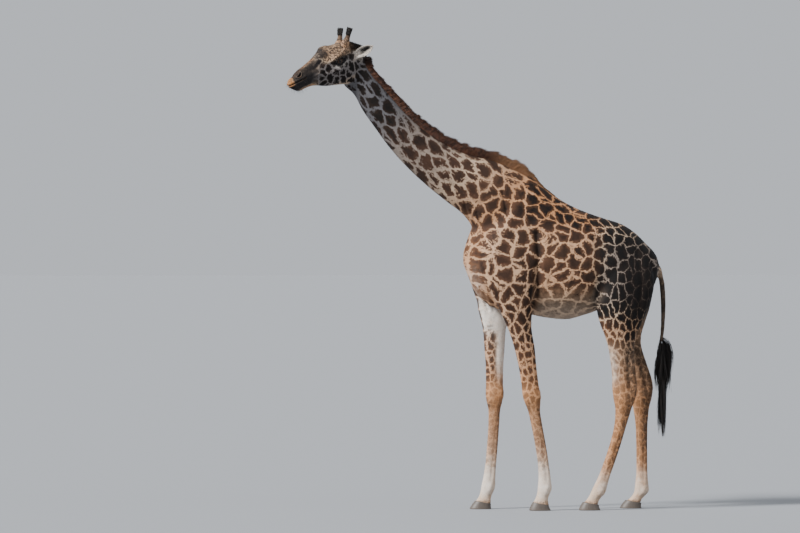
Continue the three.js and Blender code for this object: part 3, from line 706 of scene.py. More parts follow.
# Fewer faces where the form is plain; the marks go with it
marks = {"crease": crease, "mouth": mouthShade, "nostril": nostrilHole, "rim": nostrilRim, "lid": lidShade}
for name, values in marks.items():
    layer = skin.data.attributes.new(name, "FLOAT", "POINT")
    layer.data.foreach_set("value", np.ascontiguousarray(values, np.float32))
triangles = sum(len(face.vertices) - 2 for face in skin.data.polygons)
applyModifier(skin, "DECIMATE", ratio=skinLook["triangles"] / triangles)
print("skin thinned:", len(skin.data.polygons), "faces")

# Ears: leaf-shaped cups that open forward, fused to the head
ears = {
    "root": (0.010, 0.060, 0.018),
    "tip": (0.090, 0.158, 0.034),
    "length": 0.194,
    "width": 0.102,
    "thick": 0.0075,
    "cup": 0.030,
    "steps": 30,
    "columns": 18,
    "stem": 0.030,
    "stemReach": (0.045, 0.022),
}


def earFrame(side):
    along = unit(np.array(ears["tip"]) * [1, side, 1])
    facing = np.array([-1, side * 0.55, -0.1])
    opening = unit(facing - along * (facing @ along))
    return np.array(ears["root"]) * [1, side, 1], along, opening, np.cross(along, opening)


def earRings(side):
    root, along, opening, across = earFrame(side)
    t = np.linspace(0, 1, ears["steps"] + 1)[:, None]
    half = np.maximum(ears["width"] / 2 * np.sin(np.pi * (0.18 + 0.8 * t**1.25)) ** 0.8, 0.0025)
    curl = ears["cup"] * np.sin(np.pi * np.minimum(0.3 + 0.62 * t, 1))
    thick = ears["thick"] / 2 * (1.3 - 0.65 * t)
    column = np.linspace(-1, 1, ears["columns"] + 1)
    u = np.concatenate([column, column[-2:0:-1]])[None]
    sign = np.concatenate([np.ones(len(column)), -np.ones(len(column) - 2)])[None]
    dip = curl * (u * u - 0.5) + sign * thick * (1 - 0.8 * u**4) - 0.004 * sign * np.cos(3 * u) * (1 - t)
    wide = u * half * (1 - 0.18 * (curl / ears["cup"]) * u * u)
    centre = root + along * t * ears["length"]
    rings = centre[:, None] + across * wide[..., None] + opening * dip[..., None]
    return fromHead(rings.reshape(-1, 3)).reshape(rings.shape)


earShapes = {"earLeft": earRings(-1), "earRight": earRings(1)}
for name, rings in earShapes.items():
    cutter = ringTube(name, rings)
    applyModifier(skin, "BOOLEAN", operation="UNION", object=cutter, solver="EXACT")
    bpy.data.objects.remove(cutter)
pick(skin)
bpy.ops.object.mode_set(mode="EDIT")
bpy.ops.mesh.select_all(action="SELECT")
bpy.ops.mesh.quads_convert_to_tris()
bpy.ops.mesh.select_all(action="DESELECT")
bpy.ops.object.mode_set(mode="OBJECT")
points, ends = pointsOf(skin), edgesOf(skin)
atStem = np.zeros(len(points))
for side in (-1, 1):
    root, along, _, _ = earFrame(side)
    stem = fromHead([root + along * ears["stem"]])[0]
    atStem = np.maximum(atStem, step(*ears["stemReach"], np.linalg.norm(points - stem, axis=1)))
setPoints(skin, relaxed(points, ends, 5, 0.5 * atStem))
print("ears fused:", len(skin.data.polygons), "faces")

# How the patches of the coat are spaced
pattern = {
    "patch": 0.123,
    "layer": (0.90, 0.50),
    "neckBase": (0.15, 0, 2.60),
    "neckWay": (-1.28, 0, 1.26),
    # along the neck: [distance from its base, patches along, patches across]
    "neckRows": [
        [0, 1, 1],
        [0.35, 0.86, 1.05],
        [1.10, 0.78, 1.15],
        [1.55, 0.85, 1.45],
        [1.80, 1.6, 1.9],
        [2.4, 2.2, 2.2],
    ],
    # down the legs, below legTop: [height, patches along, patches across]
    "foreRows": [[0.9, 1.9, 2.3], [1.3, 1.7, 2.1], [1.6, 1.45, 1.7], [1.85, 1.15, 1.2], [2.1, 1, 1]],
    "hindRows": [[1.2, 1.7, 1.8], [1.6, 1.4, 1.5], [1.9, 1.15, 1.15], [2.2, 1.0, 1.0], [2.5, 1.0, 1]],
    "legTop": 2.1,
    # from the barrel to the rump: [x, patches along]
    "rumpRows": [[0.7, 1], [0.95, 1.1], [1.15, 1.4], [1.5, 1.7]],
    "topRows": [[2.35, 1], [2.55, 1.2], [2.9, 1.2]],
}

# Which part each point belongs to, found by the nearest point of the parts' own surfaces
surfaces = {name: partRings(name) for name in parts}
surfaces.update(earShapes)
surfaceNames = list(surfaces)
finder = kdtree.KDTree(sum(rings.shape[0] * rings.shape[1] for rings in surfaces.values()))
owner, ringOf = [], []
for index, rings in enumerate(surfaces.values()):
    for row, ring in enumerate(rings):
        for spot in ring:
            finder.insert(spot, len(owner))
            owner.append(index)
            ringOf.append(row)
finder.balance()
owner, ringOf = np.array(owner), np.array(ringOf)


# For points on one form, from a guess at their stations: how far along it and round it they are, the way of
# their hair, and their place with the form laid out flat, where Y runs from -1 (left flank) to 1 (right)
def unrollForm(spots, name, guess):
    shapeAt, where, _ = parts[name]
    middle, up, side, above, below, half = shapeAt(where)
    run = np.gradient(middle, axis=0)
    last = len(where) - 1
    for _ in range(2):
        near = np.clip(np.round(guess).astype(int), 0, last)
        size = np.sum(run[near] ** 2, axis=1)
        guess = np.clip(near + np.sum((spots - middle[near]) * run[near], axis=1) / size, 0, last)

    def here(table):
        return np.stack([np.interp(guess, np.arange(last + 1), column) for column in table.T], 1)

    out = spots - here(middle)
    sideways, rise = np.sum(out * here(side), axis=1), np.sum(out * here(up), axis=1)
    around = np.arctan2(sideways, rise) / (2 * np.pi) + 0.5
    above, below, wide = here(np.stack([above, below, half], 1)).T
    tall = np.where(rise > 0, above, below)
    angle = np.arctan2(rise / tall, np.abs(sideways) / wide)
    slices = (np.arange(12) + 0.5) / 12 * angle[:, None]
    arc = np.hypot(tall[:, None] * np.cos(slices), wide[:, None] * np.sin(slices)).mean(axis=1) * angle
    flat = here(middle) + here(up) * arc[:, None]
    flat[:, 1] = sideOf(name) if name in limbNames else np.clip(1.5 * sideways / wide, -1, 1)
    way = -1 if name in limbNames or name == "head" else 1
    lie = unit(here(run)) * way + np.array([0, 0, -0.25 if name == "trunk" else 0])
    return guess / last, around, lie, flat


# The same for every point of the skin; on the ears only the first three are worked out
def unrolled(points, part, row):
    along, around = np.zeros(len(points)), np.zeros(len(points))
    lie, flat = np.zeros((len(points), 3)), points.copy()
    flat[:, 1] = np.clip(flat[:, 1] / 0.05, -1, 1)
    for index, name in enumerate(surfaceNames):
        mine = part == index
        if not mine.any():
            continue
        if name in parts:
            guess = row[mine].astype(float)
            along[mine], around[mine], lie[mine], flat[mine] = unrollForm(points[mine], name, guess)
        else:
            root, stem, _, across = earFrame(sideOf(name))
            offset = (points[mine] - headSpot) @ headTurn - root
            along[mine] = np.clip(offset @ stem / ears["length"], 0, 1)
            around[mine] = 0.5 + 0.45 * np.clip(offset @ across / ears["width"], -0.6, 0.6)
            lie[mine] = headTurn @ stem
    return along, around, lie, flat


points, normals, ends = pointsOf(skin), normalsOf(skin), edgesOf(skin)
found = np.array([finder.find(spot)[1] for spot in points])
part, row = owner[found], ringOf[found]
_, _, lie, flat = unrolled(points, part, row)
flat = points + relaxed(flat - points, ends, 200, 0.9)
lie = relaxed(lie, ends, 12)
lie = unit(lie - normals * np.sum(lie * normals, axis=1, keepdims=True))
member = relaxed(np.eye(len(surfaceNames))[part], ends, 9)
weights = {name: member[:, index] for index, name in enumerate(surfaceNames)}
legShare = sum(weights[name] for name in limbNames)


# Distance from the first row's place, longer where the rows set the patches closer
def adding(rows, where):
    fine = np.linspace(rows[0][0], rows[-1][0], 200)
    values = rowValues(rows, fine)[:, 0]
    total = np.concatenate([[0], np.cumsum((values[1:] + values[:-1]) / 2 * np.diff(fine))])
    past = np.maximum(where - fine[-1], 0) * values[-1] + np.minimum(where - fine[0], 0) * values[0]
    return np.interp(where, fine, total) + past


# Place of each point in the pattern, in patches; the layer across tells the left flank from the right
def patternPlace(flat, legShare):
    x, level, z = flat.T
    zero = np.zeros(len(x))
    spots = np.stack([x, zero, z], 1)
    # neck and head, from the neck's base
    base, way = np.array(pattern["neckBase"]), unit(np.array(pattern["neckWay"]))
    run = (spots - base) @ way
    across = spots - base - run[:, None] * way
    rows = pattern["neckRows"]
    ahead = np.maximum(run, 0)
    forward = np.where(run > 0, adding(rows, ahead), run)
    moved = base + forward[:, None] * way + across * rowValues(rows, ahead)[:, 1:]
    # trunk, smaller toward the rump and along the back
    rump, top = pattern["rumpRows"], pattern["topRows"]
    shorter = np.where(x > rump[0][0], adding(rump, x) + rump[0][0], x)
    shorter += 0.20 * np.clip(x - 0.33, 0, 0.5) * step(2.38, 2.66, z)
    higher = np.where(z > top[0][0], adding(top, z) + top[0][0], z)
    higher = z + (higher - z) * step(0.35, 0.75, x)
    # legs, smaller downward
    down, wider, bone = zero, zero, zero
    hind = step(0.55, 0.95, x)
    for pair, share in (("fore", 1 - hind), ("hind", hind)):
        rows = pattern[f"{pair}Rows"]
        lines = [rowValues(limbs[pair + ending], z)[:, 0] for ending in ("Right", "Left")]
        bone = bone + np.where(level > 0, *lines) * share
        down = down + (adding(rows, z) - adding(rows, np.array([pattern["legTop"]]))) * share
        wider = wider + rowValues(rows, z)[:, 1] * share
    down = np.where(z < pattern["legTop"], down - (z - pattern["legTop"]), 0) * legShare
    wider = (x - bone) * (wider - 1) * legShare
    body = np.stack([shorter + wider, zero, higher + down], 1)
    placed = np.where(run[:, None] > 0, moved, body) / pattern["patch"]
    placed[:, 1] = pattern["layer"][0] + pattern["layer"][1] * level
    return placed


# Paint: what the coat looks like, form by form
# Of the columns, the last darkens the coat: painted shade in folds, along the mouth line, under the belly,
# over the neck and on the rear and inner sides of the legs, and darker brown on the brow, nose, horns, knees
# and cannons. Warm below 0 turns the coat grey-blue, partly its own grey and partly painted shade.
paintColumns = ("fade", "line", "dark", "warm", "white", "soot", "speck", "lip", "shade")


# The paint as layers of three columns each, which the coat's material reads
def paintLayers(place, paint):
    columns = [np.broadcast_to(paint.get(column, 0.0), len(place)) for column in paintColumns]
    look, tint, mark = np.split(np.clip(np.stack(columns, 1), -1, 1.6), 3, axis=1)
    return {"coatPlace": place, "coatLook": look, "coatTint": tint, "coatMark": mark}


def mixedIn(base, value, amount):
    return base + (value - base) * amount


def strongest(*values):
    return np.maximum.reduce(values)


def trunkPaint(spots):
    x, _, z = spots.T
    back = step(2.35, 2.62, z + 0.10 * step(0.6, 1.2, x))
    rump = step(0.90, 1.15, x)
    belly = step(1.98, 1.76, z) * step(0.30, 0.55, x) * step(1.25, 1.05, x)
    breast = step(0.12, -0.04, x) * step(1.99, 1.88, z)
    front = step(0.06, -0.08, x) * step(2.30, 2.05, z)
    warmer = np.maximum(back * (1 - 0.6 * rump), 0.6 * front)
    # belly and rump turn grey-blue: partly the coat's own greyer lines, partly painted shade
    greyerAndShaded = np.maximum(0.35 * belly, 0.95 * rump * (1 - 0.6 * back))
    return {
        "fade": 0.62 * belly + 0.22 * belly * step(1.80, 1.68, z) + 0.25 * breast,
        "line": 0.044 - 0.020 * back - 0.026 * rump * (1 - 0.6 * back) + 0.02 * belly + 0.02 * front,
        "dark": strongest(0.55 * step(0.25, 0.75, x), 1.3 * back, 1.6 * rump) - 0.45 * front,
        "warm": mixedIn(mixedIn(0.62, 1.0, warmer), -0.70, greyerAndShaded),
        "white": 0.32 * front * step(2.28, 2.0, z) + 0.10 * belly * step(1.86, 1.68, z),
        # painted shade under the belly
        "shade": 0.32 * belly,
    }


def neckPaint(spots):
    run = (spots - np.array(pattern["neckBase"])) @ unit(np.array(pattern["neckWay"]))
    top = step(0.5, 1.5, run)
    return {
        "line": 0.052 + 0.032 * top,
        "dark": 0.34 + 0.86 * top + 0.5 * step(1.2, 1.6, run),
        # up the neck the lines turn grey-blue: partly the coat's own grey, partly painted shade
        "warm": 0.85 - 1.42 * step(0.0, 0.8, run) - 0.38 * step(0.8, 1.4, run),
        # painted shade over the neck
        "shade": 0.16 * step(-0.1, 0.2, run),
    }


# Tints down the legs: [heights], [amounts]
legTints = {
    "foreWarm": [
        [0.05, 0.12, 0.30, 0.50, 0.84, 0.95, 1.10, 1.50, 1.80],
        [0.5, 0.2, 0.2, 0.75, 0.90, 0.95, 0.9, 0.55, 0.45],
    ],
    "foreWhite": [[0.05, 0.10, 0.20, 0.32, 0.45, 0.60, 0.90], [0.1, 0.35, 0.70, 0.55, 0.20, 0.05, 0.0]],
    # at the top of the hind leg warm goes below 0: greyer lines and painted shade, as on the rump
    "hindWarm": [
        [0.05, 0.12, 0.30, 0.50, 0.95, 1.12, 1.35, 1.60, 1.85],
        [0.5, 0.30, 0.65, 1.0, 1.0, 0.80, 0.45, 0.50, -0.62],
    ],
    "hindWhite": [[0.05, 0.12, 0.22, 0.38], [0.1, 0.25, 0.38, 0.0]],
}


# How far behind a leg's bone line each point is, as a share of half the leg's depth, and how much of it
# faces the other leg
def aboutLeg(name, spots, facing):
    middle, _, _, reach, _, _ = limbAt(name, spots[:, 2])
    inner = step(0.2, 0.7, -facing[:, 1] * np.where(spots[:, 1] < 0, -1, 1))
    return (spots[:, 0] - middle[:, 0]) / reach, inner


def forePaint(name, spots, facing):
    z = spots[:, 2]
    back, inner = aboutLeg(name, spots, facing)
    behind, ahead = step(0.1, 0.8, back), step(-0.50, 0.20, -back)
    cannon = step(0.42, 0.6, z) * step(1.0, 0.85, z)
    lower = 0.35 * step(1.16, 1.02, z) + 0.22 * step(0.98, 0.86, z) + 0.45 * step(0.44, 0.28, z)
    fade = np.maximum(lower, 0.8 * inner * step(1.95, 1.72, z))
    innerHere = inner * (1 - 0.9 * ahead * step(1.62, 1.48, z))
    pale = 0.85 * innerHere * step(1.05, 1.35, z) * step(1.98, 1.74, z)
    knee = np.exp(-(((z - 0.915) / 0.030) ** 2) - ((back + 0.75) / 0.35) ** 2)
    # the cannon is darkened: darker brown blotches, and painted shade on its rear side
    cannonShadeAndBrown = (0.12 + 0.40 * behind) * step(0.40, 0.6, z) * step(1.0, 0.85, z)
    return {
        "fade": np.minimum(fade, np.maximum(1 - ahead, step(1.16, 1.02, z))),
        "line": 0.056 + 0.03 * step(1.5, 1.1, z) - 0.022 * behind * step(1.3, 1.7, z),
        "dark": 0.36 - 0.42 * step(1.75, 1.15, z) + 0.5 * behind * step(1.1, 1.5, z),
        "warm": np.interp(z, *legTints["foreWarm"]),
        "white": np.maximum(np.interp(z, *legTints["foreWhite"]) * (1 - 0.25 * behind), pale),
        "speck": 0.28 * cannon,
        "shade": cannonShadeAndBrown + 0.8 * ahead * knee,
    }


def hindPaint(name, spots, facing):
    z = spots[:, 2]
    back, inner = aboutLeg(name, spots, facing)
    behind, ahead = step(-0.30, 0.45, back), step(0.15, 0.95, -back)
    lowest = 1.10 + 0.20 * ahead
    fade = np.maximum(0.50 * step(lowest + 0.22, lowest, z), 0.30 * step(1.50, 1.35, z))
    fade = fade + (0.40 * step(0.42, 0.26, z) + 0.20 * ahead * step(1.45, 1.3, z))
    pale = 0.36 * ahead * step(1.05, 1.18, z) * step(1.52, 1.34, z)
    # cannon and shank are darkened: painted shade on their rear sides, with some darker brown
    cannonShadeAndBrown = 0.62 * behind * step(0.30, 0.50, z) * step(1.10, 0.95, z)
    shankShadeAndBrown = (0.14 + 0.50 * behind) * step(0.92, 1.10, z) * step(1.55, 1.35, z)
    dark = 1.6 - 1.6 * step(1.80, 1.50, z) * (1 - 0.6 * behind)
    return {
        "fade": np.maximum(fade, 0.45 * inner * step(1.9, 1.6, z)),
        "line": 0.016 + 0.055 * step(1.78, 1.45, z) - 0.03 * behind * step(1.2, 1.5, z),
        "dark": dark - 0.4 * ahead * step(1.8, 1.6, z),
        "warm": np.interp(z, *legTints["hindWarm"]),
        "white": np.maximum(np.interp(z, *legTints["hindWhite"]), pale),
        "speck": 0.20 * step(0.35, 0.5, z) * step(1.0, 0.85, z),
        # and painted shade on the inner sides
        "shade": cannonShadeAndBrown + shankShadeAndBrown + 0.28 * inner * step(0.40, 0.60, z) * step(1.9, 1.6, z),
    }


def tailPaint(spots):
    return {"fade": 0.7, "line": 0.08, "dark": 0.9, "warm": 0.2, "soot": 0.86 * step(2.12, 1.95, spots[:, 2])}


def headPaint(spots, facing):
    local = toHead(spots)
    fore, up = local[:, 0], local[:, 2]
    upward = facing @ headTurn[:, 2]
    sideways = step(0.4, 0.7, np.abs(facing @ headTurn[:, 1]))
    muzzle = step(0.36, 0.47, fore + 0.5 * up)
    bridge = step(0.1, 0.8, upward) * step(0.22, 0.30, fore)
    brow = step(0.045, 0.075, up) * step(0.36, 0.27, fore)
    crown = step(0.045, -0.005, fore) * step(0.045, 0.085, up)
    front = step(0.235, 0.27, fore) * step(0.34, 0.30, fore) * step(0.09, 0.13, up)
    lips = step(0.622, 0.648, fore) * step(-0.012, 0.004, up)
    under = step(-0.040, -0.066, up) * step(0.40, 0.48, fore) * step(0.63, 0.57, fore)
    ridge = step(0.35, 0.8, upward) * step(0.29, 0.35, fore) * step(0.56, 0.46, fore)
    # dark rims round the eye with a pale ring outside, a pale line under it and a dark dash before it
    tears = awayFromLine(local[:, [0, 2]], [(0.245, 0.018), (0.205, -0.010), (0.15, -0.012), (0.10, 0.004)])
    dashes = awayFromLine(local[:, [0, 2]], [(0.34, 0.098), (0.41, 0.068)])
    around = np.hypot((fore - 0.160) / 0.058, (up - 0.028 - 0.15 * (0.160 - fore)) / 0.026)
    ring = 0.20 * sideways * step(1.06, 1.2, around) * step(1.75, 1.4, around) * step(0.03, 0.0, up)
    warm = mixedIn(mixedIn(-0.85, 0.40, brow), -0.3, step(-0.12, -0.17, up))
    warm = mixedIn(warm, 0.9, step(0.33, 0.38, fore) * upward.clip(0, 1))
    soot = np.maximum(0.95 * muzzle * (1 - 0.55 * under), 0.86 * front)
    soot = mixedIn(soot, 0.45, step(0.5, 0.9, upward) * step(0.33, 0.37, fore) * step(0.54, 0.47, fore))
    dash = 0.97 * step(0.022, 0.012, dashes) * sideways
    soot = strongest(soot, dash, crown, step(1.12, 0.98, around) * sideways)
    return {
        "fade": strongest(brow, muzzle, 0.6 * bridge) * (1 - crown),
        "line": 0.075,
        "dark": 1.6,
        "warm": mixedIn(warm, 0.9, under),
        "white": 0.16 * np.exp(-((tears / 0.008) ** 2)) * sideways + ring,
        "soot": soot * (1 - lips),
        "speck": np.maximum(step(0.01, 0.06, up) * step(0.38, 0.31, fore) * (1 - crown), 0.75 * ridge),
        "lip": 0.92 * lips,
        "shade": 0.42 * brow + 0.22 * brow * step(0.10, 0.17, up) + 0.34 * ridge,
    }


def earPaint(name, spots, facing):
    side = sideOf(name)
    root, stem, opening, across = earFrame(side)
    offset = (spots - headSpot) @ headTurn - root
    opened = facing @ (headTurn @ opening)
    reach = offset @ stem / ears["length"]
    wide = np.abs(offset @ across * side / (ears["width"] / 2) - 0.16)
    # the middle of the cup is painted near black: painted shade inside the hollow
    shadedHollow = step(0.0, 0.4, opened) * step(0.42, 0.24, wide)
    shadedHollow = shadedHollow * step(0.86, 0.72, reach) * step(0.20, 0.38, reach)
    outside = step(0.2, -0.3, opened) * step(0.5, 0.2, wide) * step(0.9, 0.5, reach)
    return {"fade": 1, "warm": 0.25, "white": 1.25, "soot": 0.93 * shadedHollow + 0.12 * outside}


# The upper edge of a form
def topLine(form, where):
    middle, up, _, above, _, _ = form(where)
    return middle + up * above[:, None]


for name in marks:
    layer = skin.data.attributes[name]
    values = np.empty(len(points), np.float32)
    layer.data.foreach_get("value", values)
    marks[name] = values.astype(float)
    skin.data.attributes.remove(layer)
paints = {
    "trunk": trunkPaint(points),
    "neck": neckPaint(points),
    "tail": tailPaint(points),
    "head": headPaint(points, normals),
}
for name in limbNames:
    paints[name] = (forePaint if name.startswith("fore") else hindPaint)(name, points, normals)
for name in earShapes:
    paints[name] = earPaint(name, points, normals)
paint = {
    column: sum(paints[name].get(column, 0) * weights[name] for name in surfaceNames)
    for column in paintColumns
}
# under the mane the coat is dark, and so are the lids; folds and the mouth line get painted shade, and the
# nostril slits are painted near black, painted shade inside them
strip = np.exp(-((awayFromLine(points, topLine(neckAt, np.linspace(0, 9.4, 60))) / 0.030) ** 2))
pale = 0.12 * marks["rim"] ** 2 * (1 - marks["nostril"])
paint["shade"] = paint["shade"] + 0.24 * marks["crease"] + 0.9 * marks["mouth"]
paint["soot"] = strongest(paint["soot"], 0.75 * strip, marks["nostril"], 0.95 * marks["lid"]) * (1 - pale)
paint["white"] = np.maximum(paint["white"], 0.25 * pale)
coatLayers = paintLayers(patternPlace(flat, relaxed(legShare, ends, 40)), paint)


def addVectors(piece, layers):
    for name, values in layers.items():
        layer = piece.data.attributes.new(name, "FLOAT_VECTOR", "POINT")
        layer.data.foreach_set("vector", np.ascontiguousarray(values, np.float32).ravel())


addVectors(skin, coatLayers)

# the unwrap: each part has its own rectangle (left, bottom, width, height)
charts = {
    "trunk": (0.005, 0.505, 0.49, 0.49),
    "neck": (0.505, 0.70, 0.49, 0.295),
    "head": (0.505, 0.405, 0.49, 0.285),
    "foreLeft": (0.005, 0.255, 0.49, 0.24),
    "foreRight": (0.005, 0.005, 0.49, 0.24),
    "hindLeft": (0.505, 0.205, 0.40, 0.19),
    "hindRight": (0.505, 0.005, 0.40, 0.19),
    "tail": (0.915, 0.205, 0.08, 0.19),
    "earLeft": (0.915, 0.105, 0.08, 0.09),
    "earRight": (0.915, 0.005, 0.08, 0.09),
}
corners = np.empty(len(skin.data.loops), np.int32)
skin.data.loops.foreach_get("vertex_index", corners)
corners = corners.reshape(-1, 3)
facePart = part[corners[:, 0]]
cornerPart = np.repeat(facePart, 3)
# a corner of another part's point takes the row of its face's first corner
flatCorners, firstCorners = corners.ravel(), np.repeat(corners[:, 0], 3)
cornerRow = np.where(cornerPart == part[flatCorners], row[flatCorners], row[firstCorners])
cornerAlong, cornerAround, _, _ = unrolled(points[flatCorners], cornerPart, cornerRow)
cornerAlong = cornerAlong * 0.96 + 0.02
cornerAround = cornerAround.reshape(-1, 3)
wraps = np.round(cornerAround - cornerAround[:, :1]) * (facePart < len(parts))[:, None]
cornerAround = np.clip((cornerAround - wraps).ravel() * 0.92 + 0.04, 0, 1)
# an ear's outer side takes the lower half of its rectangle
faceNormals = np.empty(len(skin.data.polygons) * 3, np.float32)
skin.data.polygons.foreach_get("normal", faceNormals)
faceNormals = faceNormals.reshape(-1, 3)
for name in earShapes:
    onEar = facePart == surfaceNames.index(name)
    outward = (faceNormals @ (headTurn @ earFrame(sideOf(name))[2])) < 0
    halfway = np.repeat(np.where(outward, 0, 0.52), 3)
    cornerAround = np.where(np.repeat(onEar, 3), halfway + cornerAround * 0.48, cornerAround)
left, bottom, width, height = np.array([charts[name] for name in surfaceNames])[cornerPart].T
skinMap = np.stack([left + width * cornerAlong, bottom + height * cornerAround], 1)
unwrap = skin.data.uv_layers.new(name="OFBake")
unwrap.data.foreach_set("uv", skinMap.astype(np.float32).ravel())
print("coat painted")


# Locks of hair, many at once: each a thin three-sided blade that tapers to its tip
def lockMesh(name, roots, grow, bend, side, length, width, thick, segments, layers, spots, wave=None):
    count = len(roots)
    t = np.arange(segments) / segments
    length, width, thick = (np.broadcast_to(value, count)[:, None, None] for value in (length, width, thick))
    way = grow[:, None] * t[None, :, None] + bend[:, None] * (t**2)[None, :, None]
    line = roots[:, None] + length * way
    tip = roots + (length * (grow[:, None] + bend[:, None]))[:, 0]
    if wave is not None:
        line, tip = line + wave(t), tip + wave(np.array([1.0]))[:, 0]
    heading = unit(grow[:, None] + 2 * bend[:, None] * t[None, :, None])
    across = unit(side[:, None] - heading * np.sum(side[:, None] * heading, axis=2, keepdims=True))
    slim = across * width / 2 * (0.75 + 0.8 * t - 1.35 * t * t)[None, :, None]
    crest = line + np.cross(heading, across) * thick * (1 - 0.8 * t)[None, :, None]
    bladePoints = np.stack([line - slim, line + slim, crest], 2).reshape(count, -1, 3)
    bladePoints = np.concatenate([bladePoints, tip[:, None]], axis=1)
    each = segments * 3 + 1
    last = each - 4
    blade = [(0, 2, 1)]
    for low in range(0, last, 3):
        for a, b in ((0, 1), (1, 2), (2, 0)):
            blade += [(low + a, low + b, low + 3 + b), (low + a, low + 3 + b, low + 3 + a)]
    blade += [(last + a, last + b, each - 1) for a, b in ((0, 1), (1, 2), (2, 0))]
    faces = (np.array(blade)[None] + (np.arange(count) * each)[:, None, None]).reshape(-1, 3)
    mesh = bpy.data.meshes.new(name)
    mesh.vertices.add(count * each)
    mesh.vertices.foreach_set("co", bladePoints.astype(np.float32).ravel())
    mesh.loops.add(len(faces) * 3)
    mesh.loops.foreach_set("vertex_index", faces.astype(np.int32).ravel())
    mesh.polygons.add(len(faces))
    mesh.polygons.foreach_set("loop_start", np.arange(0, len(faces) * 3, 3, dtype=np.int32))
    mesh.update(calc_edges=True)
    made = bpy.data.objects.new(name, mesh)
    bpy.context.scene.collection.objects.link(made)
    addVectors(made, {layer: np.repeat(values, each, axis=0) for layer, values in layers.items()})
    # every lock has its own small patch of the unwrap
    low, high = spots.min(axis=0), spots.max(axis=0)
    spots = 0.01 + 0.975 * (spots - low) / (high - low)
    patch = np.array([[j / 2, k / segments] for k in range(segments) for j in (0, 2, 1)] + [[0.5, 1]]) * 0.003
    flat = (spots[:, None] + patch[None]).reshape(-1, 2)
    uv = mesh.uv_layers.new(name="OFBake")
    uv.data.foreach_set("uv", flat[faces.ravel()].astype(np.float32).ravel())
    pick(made)
    bpy.ops.object.shade_smooth()
    return made


# Random places on the skin, more where density is higher
class SkinSpots:
    def __init__(self, density, count):
        a, b, c = points[corners[:, 0]], points[corners[:, 1]], points[corners[:, 2]]
        area = np.linalg.norm(np.cross(b - a, c - a), axis=1) / 2
        chance = area * density[corners].mean(axis=1)
        chosen = draw.choice(len(corners), size=count, p=chance / chance.sum())
        u, v = draw.random(count), draw.random(count)
        over = u + v > 1
        u, v = np.where(over, 1 - u, u), np.where(over, 1 - v, v)
        self.share = np.stack([1 - u - v, u, v], 1)
        self.corner = corners[chosen]
        self.point = self.of(points)
        self.normal = unit(self.of(normals))
        lieHere = self.of(lie)
        self.lie = unit(lieHere - self.normal * np.sum(lieHere * self.normal, axis=1, keepdims=True))
        self.map = np.sum(skinMap.reshape(-1, 3, 2)[chosen] * self.share[..., None], axis=1)
        self.layers = {name: self.of(values) for name, values in coatLayers.items()}

    def of(self, values):
        return np.sum(values[self.corner] * self.share[..., None], axis=1)


# A piece of short hair; fine is 1 where it is shorter on the face and low on the legs, and slim is how much
# narrower it is on the face
def furPiece(name, density, count, length, width, lift, fine=0, slim=0):
    spots = SkinSpots(density, count)
    onFace = spots.of(weights["head"][:, None])[:, 0]
    low = step(0.9, 0.5, spots.point[:, 2]) * fine
    lift = (lift * (1 - 0.35 * onFace * fine))[:, None]
    grow = unit(spots.lie + spots.normal * lift + draw.normal(0, 0.10, (count, 3)))
    bend = -spots.normal * lift * 0.25
    side = np.cross(spots.normal, spots.lie)
    size = length * (0.7 + 0.6 * draw.random(count)) * (1 - 0.55 * onFace * fine) * (1 - 0.45 * low)
    roots, width = spots.point - spots.normal * 0.001, width * (1 - slim * onFace)
    return lockMesh(name, roots, grow, bend, side, size, width, 0.0010, 2, spots.layers, spots.map)


furLook = {
    "pieces": 3,
    "coat": {"count": 19400, "length": 0.0145, "width": 0.0033, "lift": 0.14, "fine": 1, "slim": 0.4},
    "ears": {"count": 6500, "length": 0.019, "width": 0.0017, "lift": 0.26, "fine": 1},
    "crown": {"count": 2600, "length": 0.038, "width": 0.0020, "lift": 0.55},
    "hooves": {"count": 2600, "length": 0.024, "width": 0.0030, "lift": 0.30},
}
z = points[:, 2]
local = toHead(points)
onHead = weights["head"]
earShare = weights["earLeft"] + weights["earRight"]
# denser along the lines of back and belly, on the tail, the legs and the head
coatHere = (
    0.7
    + 3.5 * step(0.09, 0.0, np.abs(points[:, 1])) * (weights["trunk"] + weights["neck"])
    + 2.0 * weights["tail"]
    + 0.8 * legShare
    + 1.2 * onHead
)
coatHere = coatHere * (1 - strongest(marks["lid"], marks["nostril"], marks["mouth"])) * (1 - earShare)
coatTufts = [furPiece(f"coat_tufts_{n}", coatHere, **furLook["coat"]) for n in range(furLook["pieces"])]
# ears: long pale fringe inside the rim and soft hair outside
earFringe = furPiece("ear_fringe", earShare, **furLook["ears"])
crownHere = step(0.04, -0.01, local[:, 0]) * step(0.05, 0.09, local[:, 2]) * step(-0.11, -0.06, local[:, 0])
crownHair = furPiece("crown_hair", 1e-6 + onHead * crownHere, **furLook["crown"])
aboveHoof = np.maximum(step(0.085, 0.070, z) * step(0.045, 0.055, z), 1e-6)
coronetHair = furPiece("coronet_hair", aboveHoof, **furLook["hooves"])
print("coat tufts set")

